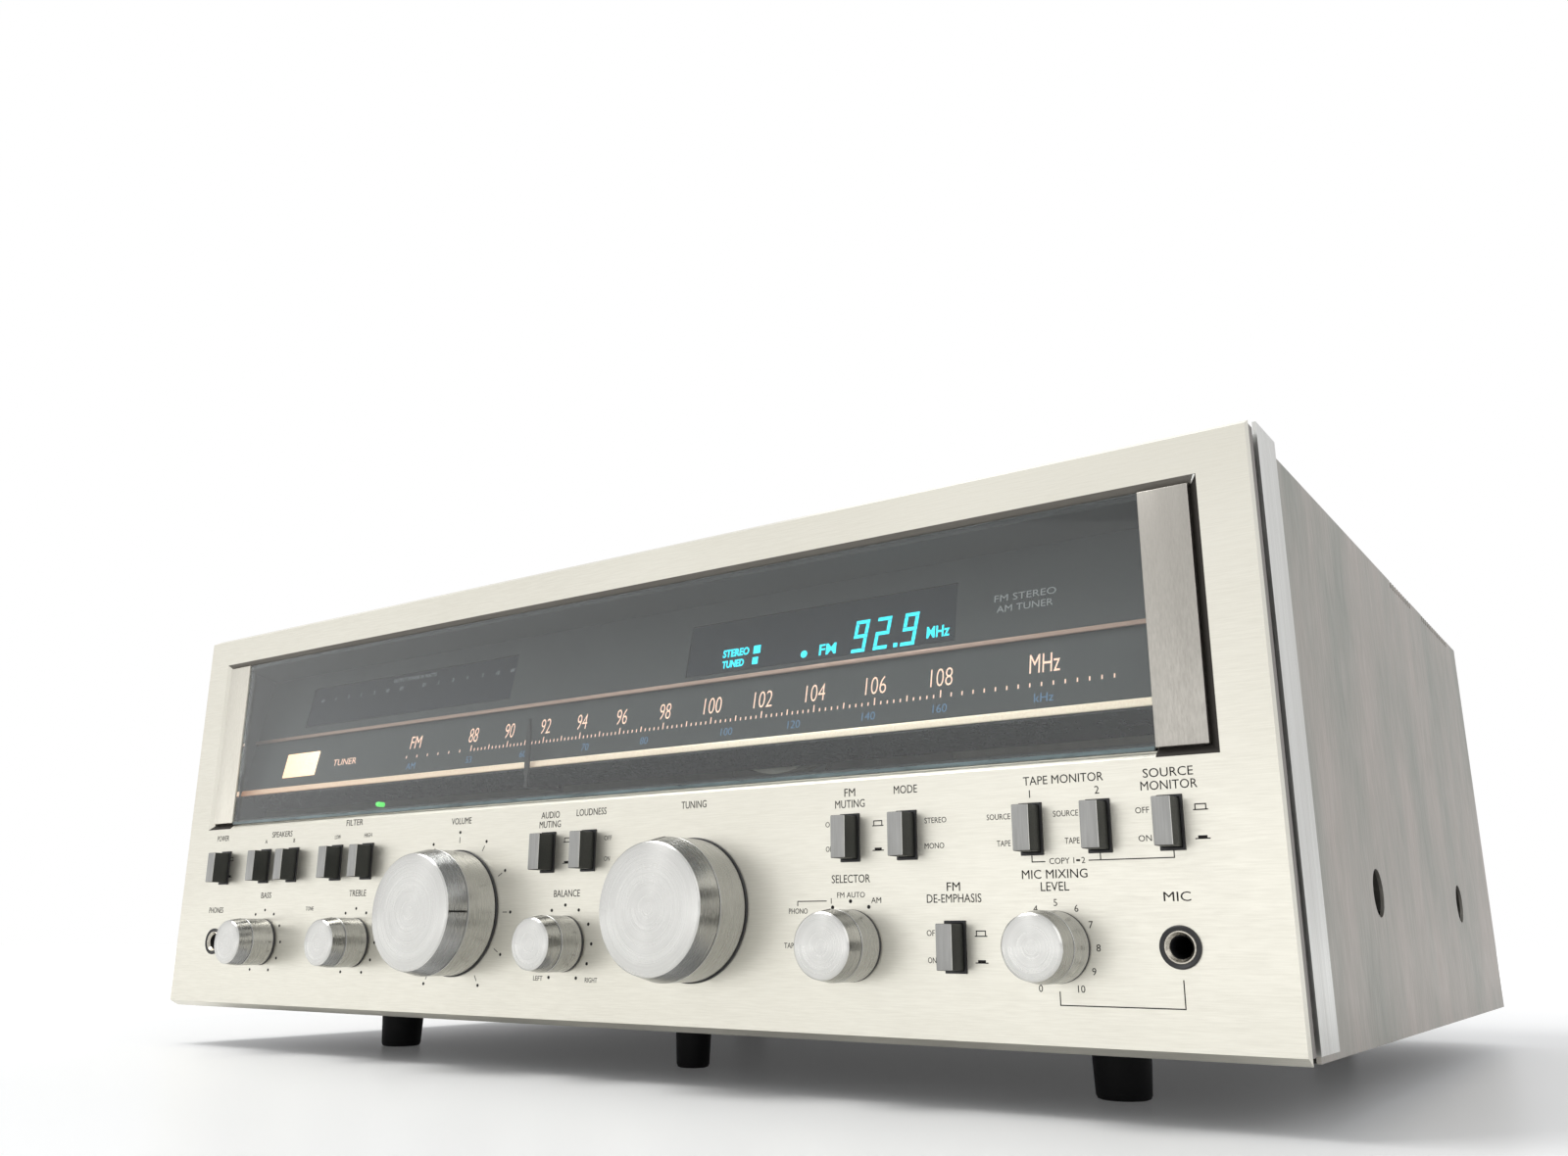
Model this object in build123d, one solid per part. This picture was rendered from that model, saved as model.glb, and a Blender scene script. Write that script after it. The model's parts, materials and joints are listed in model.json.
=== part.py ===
from build123d import *

import math
import os

# Stereo receiver, seen with its outer cabinet sleeve taken off. Millimetres.
#
# Working frame: X to the right across the front panel, Y backwards from the panel's front
# face, Z up from the lower front edge of the panel. Every piece is moved once, on export,
# to the row frame: origin on the floor, in the middle of the overall box.

# ---- overall sizes ---------------------------------------------------------------------
panel_width = 525.6
panel_height = 175.0
body_depth = 385.0            # panel face to the outside of the rear panel
foot_height = 17.4

# ---- sheet and plate stock ---------------------------------------------------------------
panel_thickness = 4.3
panel_lip = 2.3               # how far the panel's top and bottom edges splay out to the back
sheet = 1.2                   # side plates, rear panel and cover
pan_sheet = 1.5               # base pan and inner front
case_drop = 2.6               # case underside, below the panel's front edge
case_rise = 1.5               # side plate top, above the panel's front edge
seam = 0.1                    # gap left where two sheets meet edge to edge

# ---- end rails -----------------------------------------------------------------------------
rail_flange = 1.15
rail_web = 12.0               # how far the rail reaches in behind the panel
rail_strip_depth = 5.6
rail_groove_depth = 3.5
rail_groove_cut = 3.8
rail_block_depth = 3.5
rail_flange_length = 17.3
rail_rise = 5.0               # outer flange, above the panel's front edge
rail_web_rise = 1.0           # strip and block, above the panel's front edge
rail_start = -0.4

# ---- window, glass and dial ------------------------------------------------------------------
window_side = 17.4            # panel end to the clear opening
window_top_margin = 14.5
window_bottom = 81.7
window_bevel = 2.0
block_width = 16.2
block_back_gap = 0.1
block_face = 0.3              # end blocks and glass are set back from the panel's face
glass_set_back = 1.2
glass_thickness = 3.0
window_gap = 0.2
dial_overlap = 6.0            # the dial box reaches past the glass, behind the end blocks
dial_tilt = 11.1              # degrees, the scale plate leans back at the top
dial_plate = 2.0
dial_wall = 1.5
dial_front_gap = 0.2
dial_foot_y = 10.0            # scale plate's front at the height of the lower rail
dial_back_y = 24.0
dial_top_drop = 4.0           # scale plate's top edge, below the window's
ledge_start = 0.5             # dial box's lower ledge, above the window's lower edge
ledge_rise = 3.8
dial_opening_gap = 1.0
lower_rail_height = 2.6
upper_rail_height = 1.7
rail_trim = 1.4
rail_end_gap = 0.5
frequency_span = (42.0, 158.5)      # left, right
power_span = (-198.0, -55.0)
# Heights over the window's lower edge, in a window this high. They grow and shrink with it.
drawn_window_height = 78.8
lower_rail_rise = 15.8
upper_rail_rise = 41.5
pointer_tip_rise = 34.3
frequency_rise = (44.3, 65.3)       # bottom, top
power_rise = (46.3, 66.3)
display_gap = 0.3
display_depth = 5.0
display_set_back = 0.3

# ---- inner front, which carries the controls -------------------------------------------------
inner_front_y = 17.0
inner_front_height = 172.0
inner_front_back = inner_front_y + pan_sheet

# ---- push buttons -----------------------------------------------------------------------------
column_pitch = 21.3
button_width = 5.4
button_height = 13.6
button_reach = 8.0
button_tail = 12.0            # cap's length behind the panel's face
button_travel = 3.5
button_edge = 0.3
button_clearance = 0.25
frame_wall = 0.65
frame_proud = 0.5
frame_gap = 0.1
stem_width = 3.0
stem_height = 4.0
stem_end = 26.0
stem_clearance = 0.4
stem_hole_gap = 1.0
stem_end_gap = 1.0
switch_width = 9.0
switch_height = 15.6
switch_back = 52.0
button_row_z = 61.2
lower_button_z = 27.0
power_inset = 33.5            # insets run from the nearer end of the panel
speakers_inset = 65.5
filter_inset = 118.75
audio_muting_x = -12.8
fm_muting_inset = 137.5
tape_monitor_inset = 73.35
de_emphasis_inset = 100.0

# ---- knobs ---------------------------------------------------------------------------------------
large_knob_radius = 24.4
large_knob_face = 22.4
large_knob_reach = 23.5
small_knob_radius = 10.2
small_knob_face = 9.4
small_knob_reach = 18.0
selector_radius = 11.2
selector_face = 10.3
knob_gap = 0.8
knob_front_share = 0.4        # part of the knob's length in front of the groove
knob_groove = 0.5
knob_edge = 0.6
knob_cap = 3.5
shaft_radius = 3.0
shaft_slip = 0.02             # knob bore on its own shaft
running_gap = 0.05            # shaft in a bearing, radial
bush_radius = 4.7
bush_start = 8.0
bush_gap = 0.3
nut_radius = 7.5
nut_thickness = 3.0
pot_radius = 11.0
pot_back = 38.0
pot_shaft_end = 36.0
shaft_end_gap = 0.5
panel_shaft_hole = 5.5
large_knob_z = 39.0
small_knob_z = 27.2
bass_inset = 69.3             # insets run from the nearer end of the panel
treble_inset = 135.6
volume_x = -63.9
tuning_x = 58.9
balance_x = -2.3
selector_inset = 137.7
mic_level_inset = 67.2

# ---- tuning drive ---------------------------------------------------------------------------------
flywheel_radius = 22.0
flywheel_front = 20.6
flywheel_back = 31.0
flywheel_gap = 0.5
spindle_end = 43.0
spindle_radius = 4.0
groove_rim = 1.5
groove_width = 2.0
groove_flange = 0.7
string_thickness = 0.8
string_gap = 0.3
pointer_string_y = 31.5
drive_string_y = 38.0
drum_x = 75.0
drum_z = 118.0
drum_radius = 28.0
pulley_radius = 6.0
pulley_inset = 16.8           # pulley axis, from the panel's end
pulley_width = 4.0
pulley_pin_radius = 1.5
pulley_pin_end = 1.0          # pin's length past the pulley
pulley_shoulder = 1.5         # shoulder's step outside the pin
pulley_end_gap = 0.3
string_run_z = 152.5          # height of the run that carries the pointer
drum_shaft_end = 70.0

# ---- dial pointer -----------------------------------------------------------------------------------
pointer_x = -33.0
pointer_width = 1.2
pointer_arm_width = 2.0
pointer_arm = 1.0
pointer_face_y = 6.6
pointer_floor_rise = 6.3      # over the window's lower edge
pointer_floor = 1.5
pointer_back_y = 26.3
carriage_width = 12.0
carriage_depth = 3.4
carriage_height = 5.0
carriage_slot = 1.6

# ---- jacks -------------------------------------------------------------------------------------------
jack_bore_radius = 3.25
jack_mouth_radius = 3.5
jack_bush_radius = 4.55
jack_proud = 0.6
jack_bezel_radius = 5.9
jack_bezel_proud = 0.9
jack_body_width = 13.0
jack_body_height = 16.0
jack_body_back = 45.0
jack_bore_end = 40.0
jack_hole_gap = 0.15
jack_inset = 30.8             # jack axis, from the panel's end
jack_z = 27.3

# ---- feet ----------------------------------------------------------------------------------------------
foot_radius = 9.6
foot_taper = 0.8
middle_foot_radius = 7.2
foot_spacing = 177.5
foot_row_shift = 12.0
front_foot_y = 61.0
rear_foot_inset = 45.0

# ---- base pan and inner supports ------------------------------------------------------------------------
pan_flange = 14.0
post_radius = 3.5
bottom_vent_width = 3.0
bottom_vent_length = 60.0
bottom_vent_pitch = 9.0
bottom_vent_count = 12
bottom_vent_x = 55.0
bottom_vent_inset = 20.0

# ---- cover and side plate vents ----------------------------------------------------------------------------
cover_overlap = 9.6           # cover laid on the side plates' top flanges
side_flange = 14.0
vent_width = 2.4
vent_pitch = 4.7
vent_length = 96.0
vent_columns = (-160.0, -53.0, 53.0, 160.0)
side_vent_drop = 3.0
side_vent_reach = 9.0
side_plate_gap = 0.5
side_flange_gap = 1.0
front_vent_start = 218.0
front_vent_count = 10
rear_vent_start = 291.0
rear_vent_count = 15
side_hole_radius = 8.0
side_hole_z = 44.5
side_hole_front = 117.6
side_hole_rear_inset = 96.3

# ---- screws -----------------------------------------------------------------------------------------------------
screw_radius = 1.5
screw_head_radius = 3.4
screw_head = 1.8
screw_length = 6.0
screw_hole_gap = 0.2
cover_screw_front = 60.0
cover_screw_rear_inset = 12.0
rear_screw_inset = 20.0

# ---- power and signal parts inside --------------------------------------------------------------------------------
transformer_x = -185.0
transformer_y = 140.0
transformer_width = 100.0
transformer_depth = 62.0
transformer_height = 86.0
coil_width = 66.0
coil_bulge = 15.0
coil_height = 52.0
capacitor_radius = 25.0
capacitor_height = 92.0
capacitor_x = (-100.0, -44.0)
capacitor_y = 112.0
board_thickness = 1.6
main_board_z = 12.0
main_board_half = 120.0
main_board_depth = 94.0
main_board_inset = 76.0
main_post_inset = 8.0
tuner_board_z = 88.0
tuner_board = (20.0, 245.0, 60.0, 190.0)            # left, right, near, far
tuner_post_inset = 10.0
tuner_post_near_inset = 6.0
tuner_post_bay = 115.0        # third post, in from the board's right edge
tone_board_z = (12.0, 80.0)
tone_board_inset = 15.0
tuning_gang_width = 50.0
tuning_gang_front = 62.0
tuning_gang_length = 62.0
tuning_gang_top = 146.4
gang_boss_radius = 6.0
gang_boss_length = 4.0
sink_length = 110.0
sink_gap = 10.0
sink_base = 6.0
sink_fin_length = 39.0
sink_fin_thickness = 2.5
sink_fin_count = 8
sink_height = 101.0
sink_inset = 70.0
transistor_width = 16.0
transistor_thickness = 4.8
transistor_height = 20.0
transistor_z = 34.0
transistors_per_sink = 4

# ---- rear panel fittings -----------------------------------------------------------------------------------------------
terminal_block = (-235.0, -115.0, 66.0, 114.0)      # left, right, bottom, top
terminal_block_depth = 9.0
fitting_land = 6.0            # each fitting overlaps its cut-out by this much all round
lever_width = 10.0
lever_height = 14.0
lever_reach = 4.0
lever_step = 3.0              # lever's lower edge stays clear of the wire hole
lever_columns = 4
wire_hole_radius = 1.6
socket_strip = (-92.0, 64.0, 58.0, 96.0)
socket_strip_depth = 2.0
socket_columns = 7
socket_radius = 4.15
socket_length = 9.0
socket_pin_radius = 1.6
antenna_block = (96.0, 186.0, 100.0, 128.0)
antenna_block_depth = 6.0
antenna_screw_radius = 3.2
antenna_screw_reach = 5.0
coax_radius = 4.7
coax_bore_radius = 1.4
coax_length = 10.0
inlet_centre = (216.0, 34.0)
inlet_flange_width = 48.0
inlet_flange_height = 23.0
inlet_flange = 2.5
inlet_recess_width = 24.0
inlet_recess_height = 15.0
inlet_recess_depth = 17.0
inlet_wall = 1.5
inlet_pin_length = 8.0
inlet_pin_radius = 2.0
outlet_block = (96.0, 152.0, 20.0, 56.0)
outlet_block_depth = 6.0
outlet_slot_width = 1.6
outlet_slot_height = 7.0
outlet_slot_spacing = 6.4
pivot_x = -70.0
pivot_z = 150.0
pivot_stand_off = 8.0
pivot_pin_radius = 2.0
ear_thickness = 2.0
ear_gap = 12.0
ear_width = 14.0
ear_reach = 14.0
pivot_boss_radius = 5.0
pivot_end_gap = 0.3
ferrite_radius = 4.5
ferrite_length = 157.0
ferrite_start = 8.0
ferrite_end_gap = 0.2
holder_spine = 2.0
holder_end = 6.0

# ---- places worked out from the sizes above --------------------------------------------------------------------------------
half_width = panel_width / 2
case_bottom = -case_drop
case_top = panel_height + case_rise
floor_z = case_bottom + pan_sheet
side_outer = half_width - rail_flange - seam / 2
side_inner = side_outer - sheet
inner_half = side_inner - seam
rear_inner = body_depth - sheet
rail_back = panel_thickness + seam / 2 + rail_strip_depth + rail_groove_depth + rail_block_depth
rail_top = panel_height + rail_rise
rail_web_top = panel_height + rail_web_rise
window_half = half_width - window_side
window_top = panel_height - window_top_margin
block_outer = window_half - window_gap
block_inner = block_outer - block_width
glass_half = block_inner - window_gap
dial_half = glass_half + dial_overlap
dial_front = glass_set_back + glass_thickness + dial_front_gap
dial_lean = math.tan(math.radians(dial_tilt))
dial_top_z = window_top - dial_top_drop
dial_scale = (window_top - window_bottom) / drawn_window_height
lower_rail_z = window_bottom + lower_rail_rise * dial_scale
upper_rail_z = window_bottom + upper_rail_rise * dial_scale
pointer_tip_z = window_bottom + pointer_tip_rise * dial_scale
pointer_floor_z = window_bottom + pointer_floor_rise
frequency_window = (*frequency_span, *[window_bottom + rise * dial_scale for rise in frequency_rise])
power_window = (*power_span, *[window_bottom + rise * dial_scale for rise in power_rise])
run_y = pointer_string_y
pulley_x = half_width - pulley_inset
string_radius = string_gap + string_thickness
pulley_z = string_run_z - pulley_radius - string_gap - string_thickness / 2

left_edge = -half_width
right_edge = half_width

# Button name: (X, Z).
buttons = {
    "button_power": (left_edge + power_inset, button_row_z),
    "button_speakers_a": (left_edge + speakers_inset, button_row_z),
    "button_speakers_b": (left_edge + speakers_inset + column_pitch, button_row_z),
    "button_filter_low": (left_edge + filter_inset, button_row_z),
    "button_filter_high": (left_edge + filter_inset + column_pitch, button_row_z),
    "button_audio_muting": (audio_muting_x, button_row_z),
    "button_loudness": (audio_muting_x + column_pitch, button_row_z),
    "button_fm_muting": (right_edge - fm_muting_inset, button_row_z),
    "button_mode": (right_edge - fm_muting_inset + column_pitch, button_row_z),
    "button_tape_monitor_1": (right_edge - tape_monitor_inset, button_row_z),
    "button_tape_monitor_2": (right_edge - tape_monitor_inset + column_pitch, button_row_z),
    "button_source_monitor": (right_edge - tape_monitor_inset + 2 * column_pitch, button_row_z),
    "button_de_emphasis": (right_edge - de_emphasis_inset, lower_button_z),
}

# Knob name: (X, Z, skirt radius, face radius, reach).
knobs = {
    "knob_bass": (left_edge + bass_inset, small_knob_z, small_knob_radius, small_knob_face,
                  small_knob_reach),
    "knob_treble": (left_edge + treble_inset, small_knob_z, small_knob_radius, small_knob_face,
                    small_knob_reach),
    "knob_volume": (volume_x, large_knob_z, large_knob_radius, large_knob_face, large_knob_reach),
    "knob_balance": (balance_x, small_knob_z, small_knob_radius, small_knob_face, small_knob_reach),
    "knob_selector": (right_edge - selector_inset, small_knob_z, selector_radius, selector_face,
                      small_knob_reach),
    "knob_mic_level": (right_edge - mic_level_inset, small_knob_z, small_knob_radius, small_knob_face,
                       small_knob_reach),
}
tuning_z = large_knob_z
jacks = (left_edge + jack_inset, right_edge - jack_inset)

overall_front = -large_knob_reach
overall_back = body_depth + ear_reach
shift_y = -(overall_front + overall_back) / 2
shift_z = case_drop + foot_height


# ---- small makers ------------------------------------------------------------------------------------------------------------
def slab(x0, x1, y0, y1, z0, z1):
    """A box between two corners."""
    return Pos((x0 + x1) / 2, (y0 + y1) / 2, (z0 + z1) / 2) * Box(x1 - x0, y1 - y0, z1 - z0)


def rod(x, z, radius, y0, y1):
    """A round bar along Y."""
    along = Rot(-90, 0, 0) * Cylinder(radius, y1 - y0, align=(Align.CENTER, Align.CENTER, Align.MIN))
    return Pos(x, y0, z) * along


def post(x, y, radius, z0, z1):
    """A round bar along Z."""
    up = Cylinder(radius, z1 - z0, align=(Align.CENTER, Align.CENTER, Align.MIN))
    return Pos(x, y, z0) * up


def turned(points, x, z):
    """A solid of revolution about the Y axis through (x, z), from (radius, y) points."""
    section = make_face(Polyline(*points, close=True))
    return Pos(x, 0, z) * revolve(section, axis=Axis.Y)


def along_x(points, x0, x1):
    """A prism along X from (y, z) points."""
    section = Plane.YZ * make_face(Polyline(*points, close=True))
    return Pos(x0, 0, 0) * extrude(section, amount=x1 - x0)


def group(pieces):
    """Separate solids kept in one node."""
    solids = []
    for piece in pieces:
        solids += piece.solids()
    return Compound(solids)


def scale_face_y(z):
    """Front surface of the leaning scale plate at height z."""
    return dial_foot_y + (z - lower_rail_z) * dial_lean


def spaced(low, high, count):
    """Centres of count equal bays between low and high."""
    bay = (high - low) / count
    return [low + bay * (i + 0.5) for i in range(count)]


# ---- front ----------------------------------------------------------------------------------------------------------------------
def front_panel():
    """Aluminium panel with splayed edges, bevelled window, button slots and shaft holes."""
    panel = along_x([(0, 0), (0, panel_height), (panel_thickness, panel_height + panel_lip),
                     (panel_thickness, -panel_lip)], -half_width, half_width)
    window_width = 2 * window_half
    window_height = window_top - window_bottom
    mouth = Plane(origin=(0, 0, window_bottom + window_height / 2), x_dir=(1, 0, 0), z_dir=(0, 1, 0))
    bevel = extrude(mouth * Rectangle(window_width + 2 * window_bevel, window_height + 2 * window_bevel),
                    amount=window_bevel, taper=45)
    through = panel_thickness + 1
    cuts = [bevel, slab(-window_half, window_half, -1, through, window_bottom, window_top)]
    cut_w = button_width / 2 + button_clearance + frame_wall + frame_gap
    cut_h = button_height / 2 + button_clearance + frame_wall + frame_gap
    for x, z in buttons.values():
        cuts.append(slab(x - cut_w, x + cut_w, -1, through, z - cut_h, z + cut_h))
    for x, z, *_ in knobs.values():
        cuts.append(rod(x, z, panel_shaft_hole, -1, through))
    cuts.append(rod(tuning_x, tuning_z, panel_shaft_hole, -1, through))
    for x in jacks:
        cuts.append(rod(x, jack_z, jack_bush_radius + jack_hole_gap, -1, through))
    return panel - cuts


def end_rails():
    """Two extruded rails: strip, groove and block, cut down behind the panel, and outer flange."""
    front = panel_thickness + seam / 2
    groove = front + rail_strip_depth
    block = groove + rail_groove_depth
    flange_back = rail_back + rail_flange_length
    rails = []
    for side in (-1, 1):
        inner = half_width - rail_web
        strip_face = half_width - rail_flange / 2
        groove_face = half_width - rail_groove_cut
        flange_face = half_width - rail_flange
        points = [(inner, front), (strip_face, front), (strip_face, groove), (groove_face, groove),
                  (groove_face, block), (half_width, block), (half_width, flange_back),
                  (flange_face, flange_back), (flange_face, rail_back), (inner, rail_back)]
        section = make_face(Polyline(*[(side * x, y) for x, y in points], close=True))
        body = extrude(section, amount=rail_web_top - rail_start, dir=(0, 0, 1))
        left, right = sorted((side * flange_face, side * half_width))
        flange = slab(left, right, block, flange_back, rail_start, rail_top)
        rails.append(Pos(0, 0, rail_start) * body + flange)
    return group(rails)


def window_blocks():
    """Solid blocks that close the two ends of the window."""
    low = window_bottom + window_gap
    high = window_top - window_gap
    back = panel_thickness - block_back_gap
    left = slab(-block_outer, -block_inner, block_face, back, low, high)
    right = slab(block_inner, block_outer, block_face, back, low, high)
    return group([left, right])


def dial_glass():
    """Flat glass between the end blocks."""
    return slab(-glass_half, glass_half, glass_set_back, glass_set_back + glass_thickness,
                window_bottom + window_gap, window_top - window_gap)


def dial_scale_plate():
    """Moulded dial box: leaning scale plate, ceiling, lower band and end walls."""
    foot = lower_rail_z - lower_rail_height / 2
    ceiling = window_top - window_gap
    band = window_bottom + ledge_start
    inner_band = band + ledge_rise
    board = along_x([(scale_face_y(foot), foot), (scale_face_y(dial_top_z), dial_top_z),
                     (scale_face_y(dial_top_z) + dial_plate, dial_top_z),
                     (scale_face_y(foot) + dial_plate, foot)], -dial_half, dial_half)
    roof = along_x([(dial_front, ceiling), (dial_back_y, ceiling - 2 * dial_wall),
                    (dial_back_y, dial_top_z - dial_wall), (dial_front, ceiling - dial_wall)],
                   -dial_half, dial_half)
    ledge = along_x([(dial_front, band), (dial_back_y, inner_band), (dial_back_y, inner_band + dial_wall),
                     (dial_front, band + dial_wall)], -dial_half, dial_half)
    wall_points = [(dial_front, band), (dial_back_y, inner_band), (dial_back_y, ceiling - 2 * dial_wall),
                   (dial_front, ceiling)]
    left = along_x(wall_points, -dial_half - dial_wall, -dial_half)
    right = along_x(wall_points, dial_half, dial_half + dial_wall)
    box = board + [roof, ledge, left, right]
    for x0, x1, z0, z1 in (frequency_window, power_window):
        box -= slab(x0, x1, dial_foot_y, dial_back_y + 5, z0, z1)
    return box


def dial_rails():
    """Two metal strips across the scale plate."""
    strips = []
    for z, height in ((lower_rail_z, lower_rail_height), (upper_rail_z, upper_rail_height)):
        low = z - height / 2
        high = z + height / 2
        strips.append(along_x([(scale_face_y(low) - rail_trim, low), (scale_face_y(high) - rail_trim, high),
                               (scale_face_y(high), high), (scale_face_y(low), low)],
                              -dial_half + rail_end_gap, dial_half - rail_end_gap))
    return group(strips)


def display_tube(window):
    """A flat display that fills its window in the scale plate."""
    x0, x1, z0, z1 = window
    low = z0 + display_gap
    high = z1 - display_gap
    foot = scale_face_y(low)
    head = scale_face_y(high)
    return along_x([(foot + display_set_back, low), (head + display_set_back, high),
                    (head + display_depth, high), (foot + display_depth, low)],
                   x0 + display_gap, x1 - display_gap)


def inner_front():
    """Steel plate behind the panel: dial opening, holes for controls, two pulley pins."""
    plate = slab(-inner_half, inner_half, inner_front_y, inner_front_back, floor_z + pan_sheet / 2,
                 inner_front_height)
    opening = dial_half + dial_wall + dial_opening_gap
    y0 = inner_front_y - 1
    y1 = inner_front_back + 1
    cuts = [slab(-opening, opening, y0, y1, window_bottom, window_top)]
    for x, z in buttons.values():
        w = stem_width / 2 + stem_hole_gap
        h = stem_height / 2 + stem_hole_gap
        cuts.append(slab(x - w, x + w, y0, y1, z - h, z + h))
    for x, z, *_ in knobs.values():
        cuts.append(rod(x, z, bush_radius + bush_gap, y0, y1))
    cuts.append(rod(tuning_x, tuning_z, bush_radius + bush_gap, y0, y1))
    for x in jacks:
        cuts.append(rod(x, jack_z, jack_bush_radius + jack_hole_gap, y0, y1))
    pins = [rod(side * pulley_x, pulley_z, pulley_pin_radius, inner_front_back,
                run_y + pulley_width / 2 + pulley_pin_end) for side in (-1, 1)]
    shoulders = [rod(side * pulley_x, pulley_z, pulley_pin_radius + pulley_shoulder, inner_front_back,
                     run_y - pulley_width / 2 - pulley_end_gap) for side in (-1, 1)]
    return (plate - cuts) + pins + shoulders


# ---- push buttons ------------------------------------------------------------------------------------------------------------------
def push_button(x, z):
    """Cap with a stem that reaches into its switch."""
    cap = slab(x - button_width / 2, x + button_width / 2, -button_reach, button_tail,
               z - button_height / 2, z + button_height / 2)
    front = cap.faces().sort_by(Axis.Y)[0]
    cap = chamfer(front.edges(), button_edge)
    stem = slab(x - stem_width / 2, x + stem_width / 2, button_tail, stem_end,
                z - stem_height / 2, z + stem_height / 2)
    return cap + stem


def button_frames():
    """One thin bezel round each button, from the panel's face back to the inner front."""
    frames = []
    for x, z in buttons.values():
        w = button_width / 2 + button_clearance
        h = button_height / 2 + button_clearance
        outer = slab(x - w - frame_wall, x + w + frame_wall, -frame_proud, inner_front_y,
                     z - h - frame_wall, z + h + frame_wall)
        frames.append(outer - slab(x - w, x + w, -frame_proud - 1, inner_front_y + 1, z - h, z + h))
    return group(frames)


def switch_bodies():
    """One latching switch behind each button."""
    bodies = []
    for x, z in buttons.values():
        body = slab(x - switch_width / 2, x + switch_width / 2, inner_front_back, switch_back,
                    z - switch_height / 2, z + switch_height / 2)
        w = stem_width / 2 + stem_clearance
        h = stem_height / 2 + stem_clearance
        end = stem_end + button_travel + stem_end_gap
        bodies.append(body - slab(x - w, x + w, inner_front_back - 1, end, z - h, z + h))
    return group(bodies)


# ---- knobs -----------------------------------------------------------------------------------------------------------------------------
def knob_points(radius, face, reach):
    """Half section of a turned knob: skirt, groove, tapering front and flat face."""
    bore = shaft_radius + shaft_slip
    groove = -knob_gap - (reach - knob_gap) * (1 - knob_front_share)
    return [(bore, -knob_gap), (radius, -knob_gap), (radius, groove), (radius - knob_groove, groove),
            (radius - knob_groove, groove - knob_groove), (radius, groove - knob_groove),
            (face, -reach + knob_edge), (face - knob_edge, -reach), (0, -reach), (0, -reach + knob_cap),
            (bore, -reach + knob_cap)]


def knob(x, z, radius, face, reach):
    """Knob with the control shaft that it is fixed to, two solids."""
    cap = turned(knob_points(radius, face, reach), x, z)
    shaft = rod(x, z, shaft_radius, -reach + knob_cap, pot_shaft_end)
    return group([cap, shaft])


def rotary_controls():
    """Bodies behind the knobs: bush, nut and round body, and the plain tuning bearing."""
    bodies = []
    bore = shaft_radius + running_gap
    nut_front = inner_front_y - nut_thickness
    for x, z, *_ in knobs.values():
        body = rod(x, z, bush_radius, bush_start, inner_front_back)
        body += [rod(x, z, nut_radius, nut_front, inner_front_y),
                 rod(x, z, pot_radius, inner_front_back, pot_back)]
        bodies.append(body - rod(x, z, bore, bush_start - 1, pot_shaft_end + shaft_end_gap))
    bearing = rod(tuning_x, tuning_z, bush_radius, bush_start, inner_front_back)
    bearing += [rod(tuning_x, tuning_z, nut_radius, nut_front, inner_front_y),
                rod(tuning_x, tuning_z, nut_radius, inner_front_back, flywheel_front - flywheel_gap)]
    bodies.append(bearing - rod(tuning_x, tuning_z, bore, bush_start - 1, flywheel_front + 1))
    return group(bodies)


# ---- tuning drive ----------------------------------------------------------------------------------------------------------------------------
def groove_points(radius, plane):
    """Rim, groove and rim of a string wheel, from front to back, as (radius, y) points."""
    half = groove_width / 2
    rim = radius + groove_rim
    return [(rim, plane - half - groove_flange), (rim, plane - half), (radius, plane - half),
            (radius, plane + half), (rim, plane + half), (rim, plane + half + groove_flange)]


def tuning_knob():
    """The tuning knob alone: its shaft belongs to the flywheel."""
    return turned(knob_points(large_knob_radius, large_knob_face, large_knob_reach), tuning_x, tuning_z)


def tuning_flywheel():
    """Tuning shaft, flywheel and string spindle, turned in one piece."""
    points = [(0, -large_knob_reach + knob_cap), (shaft_radius, -large_knob_reach + knob_cap),
              (shaft_radius, flywheel_front), (flywheel_radius, flywheel_front),
              (flywheel_radius, flywheel_back), (shaft_radius, flywheel_back)]
    grooves = groove_points(spindle_radius, drive_string_y)
    points += [(shaft_radius, grooves[0][1])] + grooves + [(shaft_radius, grooves[-1][1])]
    points += [(shaft_radius, spindle_end), (0, spindle_end)]
    return turned(points, tuning_x, tuning_z)


def dial_drum():
    """Two-groove drum on the shaft that drives the tuning capacitor."""
    front = groove_points(drum_radius, pointer_string_y)
    back = groove_points(drum_radius, drive_string_y)
    points = [(0, front[0][1])] + front + [(drum_radius, front[-1][1]), (drum_radius, back[0][1])] + back
    points += [(shaft_radius, back[-1][1]), (shaft_radius, drum_shaft_end), (0, drum_shaft_end)]
    return turned(points, drum_x, drum_z)


def dial_pulley(side):
    """Idler pulley at one end of the pointer's string."""
    points = [(pulley_pin_radius + running_gap, run_y - pulley_width / 2)]
    half = groove_width / 2
    rim = pulley_radius + groove_rim
    points += [(rim, run_y - pulley_width / 2), (rim, run_y - half), (pulley_radius, run_y - half),
               (pulley_radius, run_y + half), (rim, run_y + half), (rim, run_y + pulley_width / 2),
               (pulley_pin_radius + running_gap, run_y + pulley_width / 2)]
    return turned(points, side * pulley_x, pulley_z)


def string_loop(wheels, plane):
    """A closed string round some wheels, given as (x, z, groove radius)."""
    def hull(extra):
        circles = Curve() + [Pos(x, z) * CenterArc((0, 0), radius + extra, 0, 360)
                             for x, z, radius in wheels]
        return make_hull(circles.edges())
    ring = hull(string_radius) - hull(string_gap)
    standing = Rot(90, 0, 0) * extrude(ring, amount=string_thickness / 2, both=True)
    return Pos(0, plane, 0) * standing


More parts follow.
